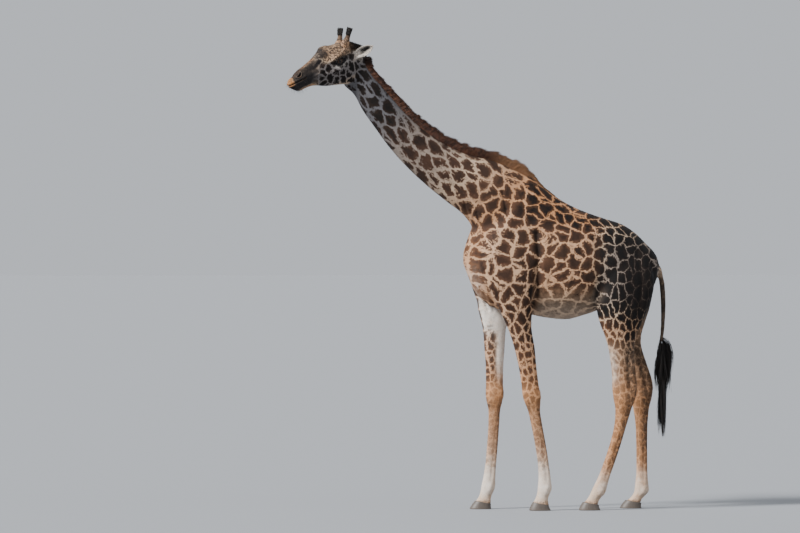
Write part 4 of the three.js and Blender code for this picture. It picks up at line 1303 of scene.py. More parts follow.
# Mane: a dense upright brush from the poll over the withers, in uneven clumps
mane = {
    "count": 18500,
    # [share of the way from poll to back, height]
    "heights": [
        [0, 0.050],
        [0.18, 0.062],
        [0.38, 0.084],
        [0.79, 0.090],
        [0.83, 0.080],
        [0.86, 0.060],
        [0.89, 0.034],
        [0.92, 0.018],
        [0.96, 0.010],
        [1, 0.006],
    ],
    # stations on the neck, then x along the back
    "neck": (0.15, 8.9),
    "back": (0.44, 0.62),
    "halfWidth": 0.024,
    "depth": 0.020,
    "width": 0.0031,
    "thick": 0.0020,
    "lean": 0.34,
    "clump": 0.036,
}
rightward = np.array([0, 1, 0])
nape = topLine(neckAt, np.linspace(*mane["neck"], 120))
crestLine = np.concatenate([nape, topLine(trunkAt, np.linspace(*mane["back"], 24))])
skinFinder = kdtree.KDTree(len(points))
for index, spot in enumerate(points):
    skinFinder.insert(spot, index)
skinFinder.balance()
rising = quarterUp(unit(np.gradient(crestLine, axis=0)))
nearest = np.array([skinFinder.find(spot)[0] for spot in crestLine])
crestLine = crestLine + rising * np.sum((nearest - crestLine) * rising, axis=1, keepdims=True)
lengths = np.concatenate([[0], np.cumsum(np.linalg.norm(np.diff(crestLine, axis=0), axis=1))])
count = mane["count"]
share = (np.arange(count) + draw.random(count)) / count
run = share * lengths[-1]
alongCrest = np.column_stack([np.interp(run, lengths, column) for column in np.hstack([crestLine, rising]).T])
middle, up = alongCrest[:, :3], unit(alongCrest[:, 3:])
backward = np.stack([up[:, 2], np.zeros(count), -up[:, 0]], 1)
offset = mane["halfWidth"] * (2 * draw.random(count) - 1)
outside = offset / mane["halfWidth"]
dip = mane["depth"] + 9 * offset**2
roots = middle - up * dip[:, None] + rightward * offset[:, None]
clump = run / mane["clump"] + 0.4 * (offset > 0) + 0.25 * np.sin(run * 19) + draw.normal(0, 0.14, count)
clump = np.maximum(np.floor(clump), 0).astype(int)
clumpTall = 0.84 + 0.28 * draw.random(clump.max() + 1)
height = rowValues(mane["heights"], share)[:, 0] * (0.84 + 0.20 * draw.random(count)) * clumpTall[clump]
height = height * (1 - 0.0528 * np.abs(outside)) + dip
# hair leans a little toward the middle of its clump, and outward
toClump = (clump + 0.5 - 0.4 * (offset > 0)) * mane["clump"] - run
pull = np.clip(toClump / height, -0.4, 0.4) * 0.5 + draw.normal(0, 0.07, count)
splay = outside * 0.20 + draw.normal(0, 0.07, count)
grow = unit(up + backward * pull[:, None] + rightward * splay[:, None])
lean = mane["lean"] * (0.6 + 0.6 * draw.random(count)) + 1.1 * step(0.84, 1.0, share)
maneTone = np.stack([draw.random(count), share, np.zeros(count)], 1)
maneWay = backward * lean[:, None]
maneSide = unit(backward + rightward * draw.normal(0, 0.8, count)[:, None])
maneMap = np.stack([share, offset], 1)
maneHair = [
    lockMesh(
        f"mane_{name}", roots[half], grow[half], maneWay[half], maneSide[half], height[half],
        mane["width"], mane["thick"], 3, {"hairTone": maneTone[half]}, maneMap[half],
    )
    for name, half in (("left", offset < 0), ("right", offset >= 0))
]

# Tail tuft: long black hair in wavy locks
tuft = {
    "count": 1900,
    "locks": 64,
    "top": 1.505,
    "tip": 0.625,
    "width": 0.0046,
    "thick": 0.0026,
    # middle of the tail as [height, x]
    "stem": [[1.0, 1.604], [1.24, 1.602], [1.40, 1.598], [1.52, 1.592]],
    # three kinds: loose locks that swing out behind, plain ones, and long ones that hang below
    "kindEnds": (0.20, 0.62),
    "crowd": (0.26, 1.0, 1.0),
    "rootSpan": (0.05, 0.12, 0.26),
    "fall": (0.46, 0.32, 0.56),
    "spread": (0.0, 0.048, 0.024),
    "wave": (0.006, 0.006, 0.012),
    "looseSpread": (0.018, 0.062),
}
locks = tuft["locks"]
kind = np.searchsorted(tuft["kindEnds"], (np.arange(locks) + 0.5) / locks)
crowd, rootSpan, fall, spread, wave = (
    np.array(tuft[name])[kind] for name in ("crowd", "rootSpan", "fall", "spread", "wave")
)
turnBy = draw.random(locks) * 2 * np.pi
outLock = np.stack([np.cos(turnBy), np.sin(turnBy), np.zeros(locks)], 1)
backLock = np.column_stack([np.ones(locks), draw.normal(0, 0.25, locks), np.zeros(locks)])
outLock = np.where((kind == 0)[:, None], backLock, outLock)
startLock = tuft["top"] - draw.random(locks) * rootSpan
farLock = spread * (0.3 + 0.8 * draw.random(locks))
farLoose = tuft["looseSpread"][0] + tuft["looseSpread"][1] * draw.random(locks)
farLock = np.where(kind == 0, farLoose, farLock)
fallLock = fall * (0.72 + 0.5 * draw.random(locks))
phaseLock = draw.random(locks) * 6.28
waveLock = wave + 0.014 * draw.random(locks)
count = tuft["count"]
mine = draw.choice(locks, size=count, p=crowd / crowd.sum())
loose = kind[mine] == 0
start = startLock[mine] + draw.normal(0, 0.012, count)
out = outLock[mine] + draw.normal(0, 0.10, (count, 3)) * [1, 1, 0]
far = farLock[mine] + draw.normal(0, 0.003, count)
length = np.minimum(fallLock[mine] * (0.72 + 0.36 * draw.random(count)), start - tuft["tip"])
roots = np.stack([rowValues(tuft["stem"], start)[:, 0], np.zeros(count), start], 1) + unit(out) * 0.010
phase, rough = phaseLock[mine] + draw.normal(0, 0.25, count), waveLock[mine]
swing = np.stack([0.006 + draw.normal(0, 0.006, count), draw.normal(0, 0.006, count), np.zeros(count)], 1)
swingLock = np.stack([draw.normal(0, 0.010, locks), draw.normal(0, 0.010, locks), np.zeros(locks)], 1)
swing = swing + swingLock[mine]


def tuftWave(t):
    looseArch, plainArch = np.sin(np.pi * np.minimum(t, 1) ** 0.62) ** 0.8, np.sin(2 * t)
    arch = np.where(loose[:, None], looseArch[None], plainArch[None])
    curl = (np.sin(7 * t[None] + phase[:, None]) - np.sin(phase)[:, None]) * rough[:, None] * t[None]
    bulge = out[:, None] * (far[:, None] * arch)[..., None]
    return bulge + np.array([0.7, 0.7, 0]) * curl[..., None] + swing[:, None] * (t**2)[None, :, None]


# Tone of each lock of long hair, which its material reads
def hairTone(count):
    return {"hairTone": np.stack([draw.random(count), np.zeros(count), np.zeros(count)], 1)}


tuftHair = lockMesh(
    "tail_hair", roots, repeated((0, 0, -1), count), np.zeros((count, 3)), np.cross(out, [0, 0, 1]), length,
    tuft["width"] * (0.6 + 0.8 * draw.random(count)), tuft["thick"], 12, hairTone(count),
    np.stack([mine + 0.9 * draw.random(count), start], 1), tuftWave,
)
print("mane and tail hair set")

# Horns, with tufted tips
horn = {
    "base": (-0.058, 0.058, 0.140),
    "tip": (0.034, 0.092, 0.264),
    # [share of the length, radius]
    "rows": [
        [-0.30, 0.020],
        [-0.12, 0.036],
        [0.04, 0.037],
        [0.25, 0.0290],
        [0.50, 0.0205],
        [0.66, 0.0195],
        [0.80, 0.0225],
        [0.90, 0.0220],
        [0.96, 0.0150],
        [1.0, 0.004],
    ],
    "bow": 0.006,
    "sides": 28,
    "ripples": 7,
    "ripple": 0.035,
    "tufts": 1500,
    "tuftFrom": (0.56, 0.36),
    "tuftLength": (0.012, 0.011),
    "tuftWidth": 0.0020,
    "tuftThick": 0.0012,
}


def hornRings(base, axis, size, sideways, ahead):
    t = np.concatenate([np.linspace(horn["rows"][0][0], 0.9, 26), np.linspace(0.92, 1.0, 8)])
    radius = rowValues(horn["rows"], t)[:, 0]
    bow = horn["bow"] * np.sin(np.clip(t, 0, 1) * np.pi)
    middle = base + axis * (t * size)[:, None] - ahead * bow[:, None]
    ups, sides = repeated(ahead, len(t)), repeated(sideways, len(t))
    rings = ringsAt(middle, ups, sides, radius, radius, radius, 1, 1, horn["sides"])
    angle = np.arange(horn["sides"]) / horn["sides"] * 2 * np.pi
    ripple = 1 + horn["ripple"] * np.sin(horn["ripples"] * angle + 9 * t[:, None])
    rings = middle[:, None] + (rings - middle[:, None]) * ripple[..., None]
    return fromHead(rings.reshape(-1, 3)).reshape(rings.shape)


# Reach is 0 at a horn's foot and 1 at its tip
def hornPaint(reach):
    return {
        "fade": 1,
        "warm": 0.62,
        "speck": 0.9 * step(0.7, 0.3, reach),
        "shade": 0.4 + 0.5 * step(0.10, 0.40, reach),
        "soot": 0.30 * step(0.12, 0.34, reach) + 0.68 * step(0.42, 0.60, reach),
    }


def hornTuft(name, base, axis, size, sideways, ahead):
    count = horn["tufts"]
    at = horn["tuftFrom"][0] + horn["tuftFrom"][1] * draw.random(count)
    turnBy = draw.random(count) * 2 * np.pi
    outward = ahead * np.cos(turnBy)[:, None] + sideways * np.sin(turnBy)[:, None]
    radius = rowValues(horn["rows"], at)[:, 0] - 0.002
    roots = base + axis * (at * size)[:, None] + outward * radius[:, None]
    growing = unit(axis + outward * (0.34 + 0.42 * draw.random(count))[:, None]) @ headTurn.T
    bending, flat = (-outward * 0.18) @ headTurn.T, np.cross(axis, outward) @ headTurn.T
    length = horn["tuftLength"][0] + horn["tuftLength"][1] * draw.random(count)
    return lockMesh(
        name, fromHead(roots), growing, bending, flat, length, horn["tuftWidth"], horn["tuftThick"], 2,
        hairTone(count), np.stack([turnBy, at], 1),
    )


horns, hornTufts = [], []
for name, sign in (("left", -1), ("right", 1)):
    base, tip = np.array(horn["base"]) * [1, sign, 1], np.array(horn["tip"]) * [1, sign, 1]
    axis, size = unit(tip - base), np.linalg.norm(tip - base)
    sideways = unit(np.cross(axis, [1, 0, 0]))
    ahead = np.cross(axis, sideways)
    made = ringTube(f"horn_{name}", hornRings(base, axis, size, sideways, ahead))
    applyModifier(made, "SUBSURF", levels=1, render_levels=1)
    spots = pointsOf(made)
    reach = ((spots - headSpot) @ headTurn - base) @ axis / size
    addVectors(made, paintLayers(spots / pattern["patch"], hornPaint(reach)))
    horns.append(made)
    hornTufts.append(hornTuft(f"horn_tuft_{name}", base, axis, size, sideways, ahead))
print("horns made")

# Eyes and lashes; every fourth lash is short and grows from the lower lid
lash = {
    "count": 64,
    "span": 0.96,
    # upper, lower
    "high": (1.05, -0.88),
    "rise": (-0.10, -0.5),
    "curl": (1.0, -0.3),
    "length": (0.030, 0.011),
    "width": 0.0022,
    "thick": 0.0016,
}


def eyeball(name, centre, gaze):
    deselectAll()
    segments, rings = eyes["segments"]
    bpy.ops.mesh.primitive_uv_sphere_add(segments=segments, ring_count=rings, radius=1)
    ball = bpy.context.object
    ball.name = name
    spots = unit(pointsOf(ball)) * eyes["radius"]
    facing = spots @ gaze / eyes["radius"]
    spots = spots + gaze * (eyes["cornea"] * step(0.72, 1.0, facing))[:, None]
    setPoints(ball, fromHead(spots + centre))
    layer = ball.data.attributes.new("gaze", "FLOAT", "POINT")
    layer.data.foreach_set("value", np.degrees(np.arccos(np.clip(facing, -1, 1))).astype(np.float32))
    return ball


def lashesOn(name, centre, sign):
    count = lash["count"]
    lid = np.linspace(-lash["span"], lash["span"], count)
    lower = (np.arange(count) % 4 == 3).astype(int)
    lidHigh, rise, curl, longest = (np.array(lash[key])[lower] for key in ("high", "rise", "curl", "length"))
    wide = lid * eyes["open"][0]
    high = eyes["open"][1] * (1 - lid**2) ** 0.75 * lidHigh
    deep = np.sqrt(np.maximum((eyes["radius"] + 0.003) ** 2 - wide**2 - high**2, 0))
    ahead = wide * math.cos(lidTilt) - high * math.sin(lidTilt)
    up = wide * math.sin(lidTilt) + high * math.cos(lidTilt)
    roots = centre + np.stack([-ahead, sign * deep, up], 1)
    lift = np.array([0, 0, 1]) * rise[:, None]
    growing = unit(unit(roots - centre) + [0.35, 0, 0] + lift + draw.normal(0, 0.06, (count, 3)))
    bending = np.array([0.15, 0, 0.35]) * curl[:, None]
    length = longest * (0.8 + 0.4 * draw.random(count))
    return lockMesh(
        name, fromHead(roots), growing @ headTurn.T, bending @ headTurn.T, repeated(headTurn[:, 0], count),
        length, lash["width"], lash["thick"], 4, {"hairTone": np.zeros((count, 3))}, np.stack([lid, high], 1),
    )


eyeballs, lashes = [], []
for name, sign in (("left", -1), ("right", 1)):
    centre = np.array([-eyes["forward"], sign * eyes["side"], eyes["up"]])
    eyeballs.append(eyeball(f"eyeball_{name}", centre, unit(np.array(eyes["gaze"]) * [1, sign, 1])))
    lashes.append(lashesOn(f"lashes_{name}", centre, sign))

# Whiskers on lips and chin
whisker = {
    "count": 150,
    "length": (0.012, 0.026),
    "width": 0.0011,
    "thick": 0.0009,
    "droop": 0.25,
    "tone": 0.2,
}
chin = step(0.50, 0.60, local[:, 0]) * step(0.04, 0.0, local[:, 2]) + 0.5 * step(0.60, 0.64, local[:, 0])
onMuzzle = (local[:, 0] > 0.5) * (np.abs(local[:, 1]) < 0.1)
count = whisker["count"]
spots = SkinSpots(np.maximum(chin * onMuzzle, 1e-6), count)
growing = unit(spots.normal + 0.3 * spots.lie + draw.normal(0, 0.15, (count, 3)))
whiskers = lockMesh(
    "whiskers", spots.point, growing, repeated((0, 0, -whisker["droop"]), count),
    np.cross(spots.normal, spots.lie), whisker["length"][0] + whisker["length"][1] * draw.random(count),
    whisker["width"], whisker["thick"], 3, {"hairTone": np.full((count, 3), whisker["tone"])}, spots.map,
)
print("eyes and lashes made")

# Hooves: two toes to each foot
hoof = {
    # [share of the way up, length, half width, forward of the bone line]
    "rows": [
        [0.0, 0.184, 0.0650, 0.002],
        [0.05, 0.187, 0.0662, 0.003],
        [0.30, 0.176, 0.0645, 0.004],
        [0.60, 0.160, 0.0618, 0.003],
        [0.88, 0.145, 0.0592, 0.001],
        [0.97, 0.142, 0.0585, 0.000],
        [1.0, 0.132, 0.0540, 0.000],
    ],
    "cleft": 0.008,
    "heel": (0.060, 0.050),
    "rise": 0.185,
    "sides": 44,
    "ridge": 0.0005,
}


def hoofRings(limbName, toe):
    shares = np.concatenate([[0.0, 0.02], np.linspace(0.06, 0.96, 13), [0.985, 1.0]])
    angle = np.arange(hoof["sides"]) / hoof["sides"] * 2 * np.pi
    ex = np.sign(np.cos(angle)) * np.abs(np.cos(angle)) ** 0.92
    ey = np.sign(np.sin(angle)) * np.abs(np.sin(angle)) ** 0.86
    off = sideOf(limbName) * girthsOf(limbName)[0][3]
    heelX = rowValues(limbs[limbName], np.array([hoof["heel"][1]]))[0, 0] + hoof["heel"][0]
    cleft = hoof["cleft"] / 2
    rings = np.zeros((len(shares), len(angle), 3))
    for k, (share, row) in enumerate(zip(shares, rowValues(hoof["rows"], shares))):
        length, half, forward = row
        x = rowValues(limbs[limbName], np.array([0.06 * share]))[0, 0] - forward - ex * length / 2
        breadth = half - cleft
        taper = 1 - 0.20 * np.clip(ex, 0, 1) ** 3
        inner = cleft + 0.12 * breadth + 0.003 * np.clip(ex, 0, 1) ** 2
        across = np.where(ey > 0, inner + (breadth * 0.88) * ey * taper, inner + 0.12 * breadth * ey)
        top = hoof["heel"][1] + (heelX - x) * hoof["rise"]
        ridges = hoof["ridge"] * np.sin(share * 40 + 2 * ex)
        rings[k] = np.stack([x - ex * ridges, off + toe * (across + ridges * (ey > 0)), share * top], 1)
    return rings


hooves = []
for limbName in limbNames:
    for side, toe in (("left", -1), ("right", 1)):
        made = ringTube(f"hoof_{limbName}_{side}", hoofRings(limbName, toe))
        applyModifier(made, "SUBSURF", levels=1, render_levels=1)
        spots = pointsOf(made)
        spots[:, 2] = np.maximum(spots[:, 2], 0)
        setPoints(made, spots)
        hooves.append(made)
print("hooves made")


# Shader maths reads as plain expressions on sockets
class Wire:
    def __init__(self, graph, socket):
        self.graph, self.socket = graph, socket

    def __add__(self, other):
        return self.graph.math("ADD", self, other)

    def __radd__(self, other):
        return self.graph.math("ADD", other, self)

    def __sub__(self, other):
        return self.graph.math("SUBTRACT", self, other)

    def __rsub__(self, other):
        return self.graph.math("SUBTRACT", other, self)

    def __mul__(self, other):
        return self.graph.math("MULTIPLY", self, other)

    def __rmul__(self, other):
        return self.graph.math("MULTIPLY", other, self)

    def __truediv__(self, other):
        return self.graph.math("DIVIDE", self, other)

    def __rtruediv__(self, other):
        return self.graph.math("DIVIDE", other, self)

    def __neg__(self):
        return self * -1

    # Kept between 0 and 1
    def clear(self):
        return self.graph.math("MINIMUM", self.graph.math("MAXIMUM", self, 0), 1)

    # 0 below low and 1 above high (or the other way about), eased
    def eased(self, low, high):
        t = ((self - low) / (high - low)).clear()
        return t * t * (3 - 2 * t)


class Graph:
    def __init__(self, name):
        self.material = bpy.data.materials.new(name)
        self.material.use_nodes = True
        self.tree = self.material.node_tree
        self.tree.nodes.clear()

    # Settings are set first; a value is a number, a vector, a colour of three, or a wire
    def node(self, kind, settings=None, values=None, output=0):
        made = self.tree.nodes.new(kind)
        for key, value in (settings or {}).items():
            setattr(made, key, value)
        for key, value in (values or {}).items():
            socket = made.inputs[key]
            if isinstance(value, Wire):
                self.tree.links.new(value.socket, socket)
            else:
                socket.default_value = (*value, 1) if socket.type == "RGBA" else value
        return Wire(self, made.outputs[output]) if len(made.outputs) else None

    def math(self, operation, first, second):
        return self.node("ShaderNodeMath", {"operation": operation}, {0: first, 1: second})

    def attribute(self, name, output="Vector"):
        return self.node("ShaderNodeAttribute", {"attribute_name": name}, output=output)

    def objectPlace(self):
        return self.node("ShaderNodeTexCoord", output="Object")

    def noise(self, place, scale, detail=2.0, rough=0.5, output="Fac"):
        values = {"Vector": place, "Scale": scale, "Detail": detail, "Roughness": rough}
        return self.node("ShaderNodeTexNoise", None, values, output)

    def voronoi(self, place, scale, feature="DISTANCE_TO_EDGE", output=0, random=1.0):
        values = {"Vector": place, "Scale": scale, "Randomness": random}
        return self.node("ShaderNodeTexVoronoi", {"feature": feature}, values, output)

    def vector(self, operation, first, second):
        key = 3 if operation == "SCALE" else 1
        return self.node("ShaderNodeVectorMath", {"operation": operation}, {0: first, key: second})

    def parts(self, vector):
        first = self.node("ShaderNodeSeparateXYZ", None, {0: vector})
        return [Wire(self, socket) for socket in first.socket.node.outputs]

    def mix(self, amount, first, second):
        return self.node("ShaderNodeMix", {"data_type": "RGBA"}, {0: amount, 6: first, 7: second}, 2)

    def bump(self, height, strength, distance):
        values = {"Height": height, "Strength": strength, "Distance": distance}
        return self.node("ShaderNodeBump", None, values)

    def finish(self, values):
        self.node("ShaderNodeOutputMaterial", None, {0: self.node("ShaderNodeBsdfPrincipled", None, values)})
        return self.material


# The coat: jagged dark patches with pale lines between them, all by formula
coatLook = {
    "orange": (0.51, 0.230, 0.092),
    "cream": (0.52, 0.375, 0.255),
    # grey-blue of the lines: partly the coat's own grey, partly painted shade
    "greyAndShade": (0.085, 0.090, 0.105),
    "white": (0.80, 0.725, 0.64),
    "soot": (0.0085, 0.0072, 0.0078),
    "brown": (0.100, 0.048, 0.028),
    "brownDeep": (0.026, 0.0130, 0.0085),
    "black": (0.0045, 0.0035, 0.0033),
    "speck": (0.026, 0.015, 0.010),
    "lip": (0.42, 0.175, 0.048),
    "ghost": (0.085, 0.062, 0.046),
    "ghostWarm": (0.26, 0.115, 0.045),
    "rust": (0.150, 0.062, 0.025),
    # painted shade and darker brown
    "shade": (0.028, 0.018, 0.013),
    "hairPale": (0.55, 0.47, 0.37),
    "hairDark": (0.008, 0.006, 0.005),
    # spread of the patches, how far their edges wander at large and at small scale, notches and teeth
    "spread": 0.82,
    "wander": (0.55, 0.33),
    "notch": 0.32,
    "teeth": 0.14,
}


# How deep inside a patch a place is, below 0 between them, and each patch's own tone
def patchDepth(g, spot, cells, line):
    far, near = (
        g.vector("SUBTRACT", g.noise(cells, scale, detail, rough, "Color"), (0.5, 0.5, 0.5))
        for scale, detail, rough in ((1.4, 1.0, 0.5), (5.5, 2.0, 0.6))
    )
    largeWander, smallWander = coatLook["wander"]
    wander = g.vector("ADD", g.vector("SCALE", far, largeWander), g.vector("SCALE", near, smallWander))
    warped = g.vector("ADD", cells, g.vector("MULTIPLY", wander, (1, 0, 1)))
    edge = g.voronoi(warped, 1.0, random=coatLook["spread"])
    tone = g.parts(g.voronoi(warped, 1.0, "F1", "Color", coatLook["spread"]))[0]
    ragged = (line * 16).clear()
    feather = ((g.noise(spot, 240, 1.0) - 0.5) * 0.07 + (g.noise(spot, 75, 1.0) - 0.5) * 0.09) * ragged
    cutDeep = g.noise(cells, 1.1, 0.0).eased(0.44, 0.60)
    notch = g.voronoi(warped, 2.6).eased(0.075, 0.0) * cutDeep * edge.eased(0.36, 0.12)
    teeth = g.noise(cells, 9.0, 2.0, 0.6).eased(0.56, 0.70) * ragged * edge.eased(0.24, 0.05)
    return edge - line - notch * ragged * coatLook["notch"] - teeth * coatLook["teeth"] + feather, tone


# A mask whose soft border is broken up by a noise
def brokenUp(mask, noise, low, high):
    return (mask + noise * mask.eased(*low) * mask.eased(*high)).clear()


def patchColours(g, dark, warm, core, tone, blotch):
    mild = g.mix(core * 0.6, coatLook["brown"], coatLook["brownDeep"])
    deep = g.mix(core, coatLook["brownDeep"], coatLook["black"])
    colour = g.mix((dark + (tone - 0.5) * 0.35 + (blotch - 0.5) * 0.5).clear(), mild, deep)
    colour = g.mix((dark - 0.9).clear(), colour, coatLook["black"])
    rusty = warm.clear() * (0.45 + 0.75 * dark.eased(0.35, 0.0)) * (1 - core * 0.85 * dark.eased(-0.4, 0.1))
    return g.mix((rusty * blotch.eased(0.30, 0.60)).clear(), colour, coatLook["rust"])


# warm below 0 turns the ground grey-blue: partly the coat's grey, partly painted shade
def groundColours(g, spot, warm, greyedAndShaded):
    colour = g.mix(warm.clear(), coatLook["cream"], coatLook["orange"])
    colour = g.mix((g.noise(spot, 24, 2.0) - 0.35).clear() * 0.5, colour, coatLook["cream"])
    return g.mix(greyedAndShaded, colour, coatLook["greyAndShade"])


# Specks of the forehead
def speckledColours(g, spot, colour, speckled):
    dappled = g.vector("ADD", spot, g.vector("SCALE", g.noise(spot, 60, 2.0, 0.6, "Color"), 0.03))
    speck = g.voronoi(dappled, 88, "F1", "Distance") + (g.noise(spot, 24, 1.0) - 0.5) * 0.6
    return g.mix(speck.eased(0.60, 0.42) * speckled, colour, coatLook["speck"])


def lipColours(g, spot, colour, lip):
    lipHere = brokenUp(lip, (g.noise(spot, 70, 2.0) - 0.5) * 1.2, (0, 0.3), (1.1, 0.8))
    colour = g.mix(lipHere, colour, coatLook["lip"])
    return g.mix(lipHere * g.noise(spot, 120, 2.0).eased(0.42, 0.62) * 0.75, colour, coatLook["brown"])


# Single hairs: fine streaks the way the hair lies
def hairStreaks(g, spot):
    alongX = g.noise(g.vector("MULTIPLY", spot, (60, 420, 420)), 1.0, 2.0, 0.6)
    alongZ = g.noise(g.vector("MULTIPLY", spot, (420, 420, 60)), 1.0, 2.0, 0.6)
    lieX = g.parts(g.attribute("hairLie"))[0]
    return alongX * lieX + alongZ * (1 - lieX)


def coatGraph(name):
    g = Graph(name)
    spot = g.objectPlace()
    cells = g.attribute("coatPlace")
    fade, line, dark = g.parts(g.attribute("coatLook"))
    warm, white, soot = g.parts(g.attribute("coatTint"))
    speckled, lip, shade = g.parts(g.attribute("coatMark"))
    blots = (g.noise(spot, 21, 3.0, 0.65) - 0.5) * 1.1
    fade = brokenUp(fade, blots, (0.0, 0.25), (1.0, 0.7))
    white = brokenUp(white, blots, (0.06, 0.3), (1.0, 0.8))
    soot = brokenUp(soot, (g.noise(spot, 55, 2.0) - 0.5) * 0.35, (0, 0.3), (1.0, 0.9))
    # painted shade and darker brown, mottled
    shade = shade * (0.55 + 0.9 * g.noise(spot, 34, 2.0, 0.6).eased(0.36, 0.62))
    greyedAndShaded = (-warm).clear()
    # patches on the ground colour
    depth, tone = patchDepth(g, spot, cells, line)
    patch = depth.eased(-0.014, 0.034)
    shown = patch * (1 - fade)
    onPatch = patchColours(g, dark, warm, depth.eased(0.05, 0.26), tone, g.noise(cells, 3.1, 2.0, 0.6))
    colour = g.mix(shown, groundColours(g, spot, warm, greyedAndShaded), onPatch)
    # where the patches fade, a ghost of them stays
    ghost = g.mix((warm * 1.5 - 0.3).clear(), coatLook["ghost"], coatLook["ghostWarm"])
    colour = g.mix(shown * fade * 2.3, colour, ghost)
    colour = g.mix(white * (1 - shown * white.eased(0.80, 0.45) * 0.75), colour, coatLook["white"])
    colour = speckledColours(g, spot, colour, speckled)
    colour = g.mix(soot, colour, coatLook["soot"])
    colour = lipColours(g, spot, colour, lip)
    # the painted shade and darker brown go over all
    colour = g.mix(shade.clear() * 0.75, colour, coatLook["shade"])
    # streaks lighten the pale coat and darken all of it
    streak = hairStreaks(g, spot)
    pale = (1 - shown * 0.93) * (1 - soot * 0.85) * (1 - greyedAndShaded * 0.7)
    colour = g.mix((streak - 0.5).clear() * 0.9 * pale, colour, coatLook["hairPale"])
    colour = g.mix((0.5 - streak).clear() * 1.3, colour, coatLook["hairDark"])
    raised = streak + g.noise(spot, 46, 2.0, 0.5) * 0.5 + patch * 0.25
    return g.finish({
        "Base Color": colour,
        "Roughness": 0.60 + streak * 0.14,
        "Normal": g.bump(raised, 0.55, 0.0022),
        "Specular IOR Level": 0.14,
        "Sheen Weight": 0.02,
        "Sheen Roughness": 0.45,
    })


# Long hair: two tones from lock to lock, a third in blotches, and for the mane a root and a tip
hairLooks = {
    "mane hair": {
        "light": (0.200, 0.080, 0.042),
        "dark": (0.045, 0.019, 0.012),
        "blotch": (0.016, 0.009, 0.007),
        "blotches": 0.7,
        "rough": 0.60,
        "tip": (0.42, 0.215, 0.100),
        "root": (0.012, 0.008, 0.007),
    },
    "long hair": {
        "light": (0.020, 0.016, 0.014),
        "dark": (0.008, 0.0065, 0.006),
        "blotch": (0.045, 0.028, 0.018),
        "blotches": 0.25,
        "rough": 0.48,
    },
}


def hairMaterial(name):
    g = Graph(name)
    look = hairLooks[name]
    tone, along, _ = g.parts(g.attribute("hairTone"))
    spot = g.objectPlace()
    colour = g.mix(tone, look["dark"], look["light"])
    colour = g.mix(g.noise(spot, 26, 2.0).eased(0.42, 0.62) * look["blotches"], colour, look["blotch"])
    if "tip" in look:
        colour = g.mix(along.eased(0.66, 0.80) * 0.7, colour, look["tip"])
        colour = g.mix(along.eased(0.06, 0.0) * 0.9, colour, look["root"])
    streak = g.noise(g.vector("MULTIPLY", spot, (500, 500, 60)), 1.0, 1.0).eased(0.4, 0.75)
    colour = g.mix(streak * 0.25, colour, look["light"])
    return g.finish({"Base Color": colour, "Roughness": look["rough"], "Specular IOR Level": 0.35})


hoofLook = {
    "pale": (0.110, 0.088, 0.072),
    "dark": (0.056, 0.043, 0.034),
    "fibre": (0.150, 0.122, 0.100),
    "dust": (0.115, 0.088, 0.068),
}


def hoofMaterial():
    g = Graph("horn of the hoof")
    spot = g.objectPlace()
    height = g.parts(spot)[2]
    rings = g.noise(g.vector("MULTIPLY", spot, (3, 3, 70)), 1.0, 2.0)
    fibres = g.noise(g.vector("MULTIPLY", spot, (160, 160, 8)), 1.0, 2.0)
    colour = g.mix(rings, hoofLook["pale"], hoofLook["dark"])
    colour = g.mix(fibres.eased(0.4, 0.8) * 0.5, colour, hoofLook["fibre"])
    colour = g.mix(height.eased(0.025, 0.0) * 0.6, colour, hoofLook["dust"])
    normal = g.bump(rings * 0.6 + fibres * 0.4, 0.5, 0.0012)
    return g.finish({"Base Color": colour, "Roughness": 0.46 + rings * 0.12, "Normal": normal})


eyeLook = {
    "white": (0.045, 0.026, 0.019),
    "vein": (0.085, 0.040, 0.030),
    "iris": (0.024, 0.011, 0.006),
    "irisPale": (0.062, 0.028, 0.013),
    "irisRim": (0.006, 0.004, 0.003),
    "pupil": (0.0015, 0.0015, 0.002),
}


# Rings round the gaze, by the angle from it in degrees
def eyeMaterial():
    g = Graph("eye")
    gaze = g.attribute("gaze", "Fac")
    spot = g.objectPlace()
    white = g.mix(g.noise(spot, 180, 3.0).eased(0.5, 0.8), eyeLook["white"], eyeLook["vein"])
    iris = g.mix(g.noise(spot, 260, 2.0).eased(0.35, 0.7), eyeLook["iris"], eyeLook["irisPale"])
    colour = g.mix(gaze.eased(41, 44), iris, white)
    colour = g.mix(gaze.eased(45, 41) * gaze.eased(36, 40), colour, eyeLook["irisRim"])
    colour = g.mix(gaze.eased(21, 17), colour, eyeLook["pupil"])
    return g.finish({"Base Color": colour, "Roughness": 0.05, "Specular IOR Level": 0.28})


# which way hair lies, for the streaks: 1 along the body, 0 up and down
alongBody = step(0.45, 0.75, np.abs(lie[:, 0]))
addVectors(skin, {"hairLie": np.stack([alongBody, np.zeros(len(lie)), np.zeros(len(lie))], 1)})
coatMaterial = coatGraph("coat")
longMaterial = hairMaterial("long hair")
print("materials made")


# The tail tuft isn't counted with the tail, because it has a piece of its own
def nodesNamed(*starts):
    return [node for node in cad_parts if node.startswith(starts) and node != "tail_tuft"]


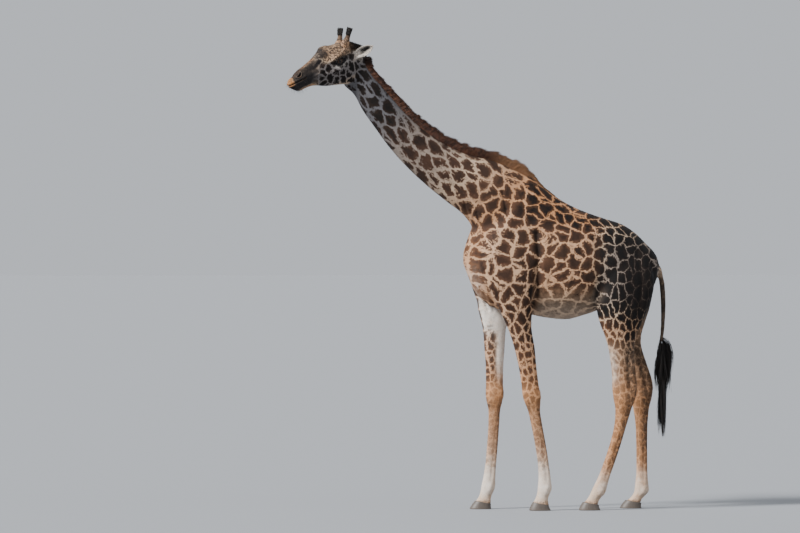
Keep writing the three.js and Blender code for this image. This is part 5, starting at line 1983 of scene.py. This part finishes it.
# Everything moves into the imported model's frame, and takes the place of its solids
groups = [
    # (pieces, material, slot, solids)
    ([skin], coatMaterial, "coat", nodesNamed("head", "neck", "torso", "leg", "tail", "ear")),
    ([*coatTufts, earFringe, crownHair, coronetHair], coatMaterial, "coat", []),
    (maneHair, hairMaterial("mane hair"), "mane_hair", []),
    ([tuftHair], longMaterial, "long_hair", ["tail_tuft"]),
    ([whiskers, *lashes, *hornTufts], longMaterial, "long_hair", []),
    (horns, coatMaterial, "ossicone", nodesNamed("ossicone")),
    (hooves, hoofMaterial(), "hoof", nodesNamed("hoof")),
    (eyeballs, eyeMaterial(), "eye", nodesNamed("eye")),
]
for pieces, surface, slot, nodes in groups:
    for piece in pieces:
        piece.data.materials.clear()
        piece.data.materials.append(surface)
        setPoints(piece, pointsOf(piece) + shift)
        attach(piece, "root")
        # of several like solids, a piece takes the one that it lies on
        middle = Vector(pointsOf(piece).mean(axis=0))
        near = [node for node in nodes if (sum(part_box(node), Vector()) / 2 - middle).length < 0.06]
        mine = near if len(pieces) > 1 else nodes
        if mine:
            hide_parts(*mine)
for piece in coatTufts:
    pick(piece)
    bpy.ops.object.shade_flat()
for piece in [skin, *hooves, *eyeballs, *horns]:
    pick(piece)
    bpy.ops.object.shade_smooth()

# Pale floor, soft studio light and the camera
studio = {
    "floor": (0.296, 0.307, 0.324),
    "floorSize": 600,
    "sky": (0.80, 0.84, 0.90),
    "skyStrength": 0.74,
    # (tip from overhead, turn, strength, softness)
    "suns": [(52, -62, 6.4, 0.2), (62, 60, 0.35, 0.6), (70, 190, 0.5, 0.6)],
    # the camera stands this far from the middle of the view
    "middle": -0.713,
    "turn": -6,
    "away": 45,
    "height": 2.362,
    "drop": 0.295,
    "lens": 231.43,
    "farthest": 500,
}
bpy.ops.mesh.primitive_plane_add(size=studio["floorSize"])
floor = bpy.context.object
floor.name = "floor"
floorLook = {"Base Color": studio["floor"], "Roughness": 0.9, "Specular IOR Level": 0.1}
floor.data.materials.append(Graph("floor").finish(floorLook))
floor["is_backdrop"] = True
for number, (tip, turn, strength, soft) in enumerate(studio["suns"]):
    bpy.ops.object.light_add(type="SUN", rotation=(math.radians(tip), 0, math.radians(turn)))
    sun = bpy.context.object
    sun.name = f"sun_{number}"
    sun.data.energy = strength
    sun.data.angle = soft
world = bpy.data.worlds.new("studio")
bpy.context.scene.world = world
world.use_nodes = True
background = world.node_tree.nodes["Background"]
background.inputs[0].default_value = (*studio["sky"], 1)
background.inputs[1].default_value = studio["skyStrength"]
turn = math.radians(studio["turn"])
spot = (
    math.cos(turn) * studio["middle"] + math.sin(turn) * studio["away"] + shift[0],
    math.sin(turn) * studio["middle"] - math.cos(turn) * studio["away"],
    studio["height"],
)
bpy.ops.object.camera_add(location=spot, rotation=(math.radians(90 - studio["drop"]), 0, turn))
camera = bpy.context.object
camera.data.lens = studio["lens"]
camera.data.clip_end = studio["farthest"]
bpy.context.scene.camera = camera

low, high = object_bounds()
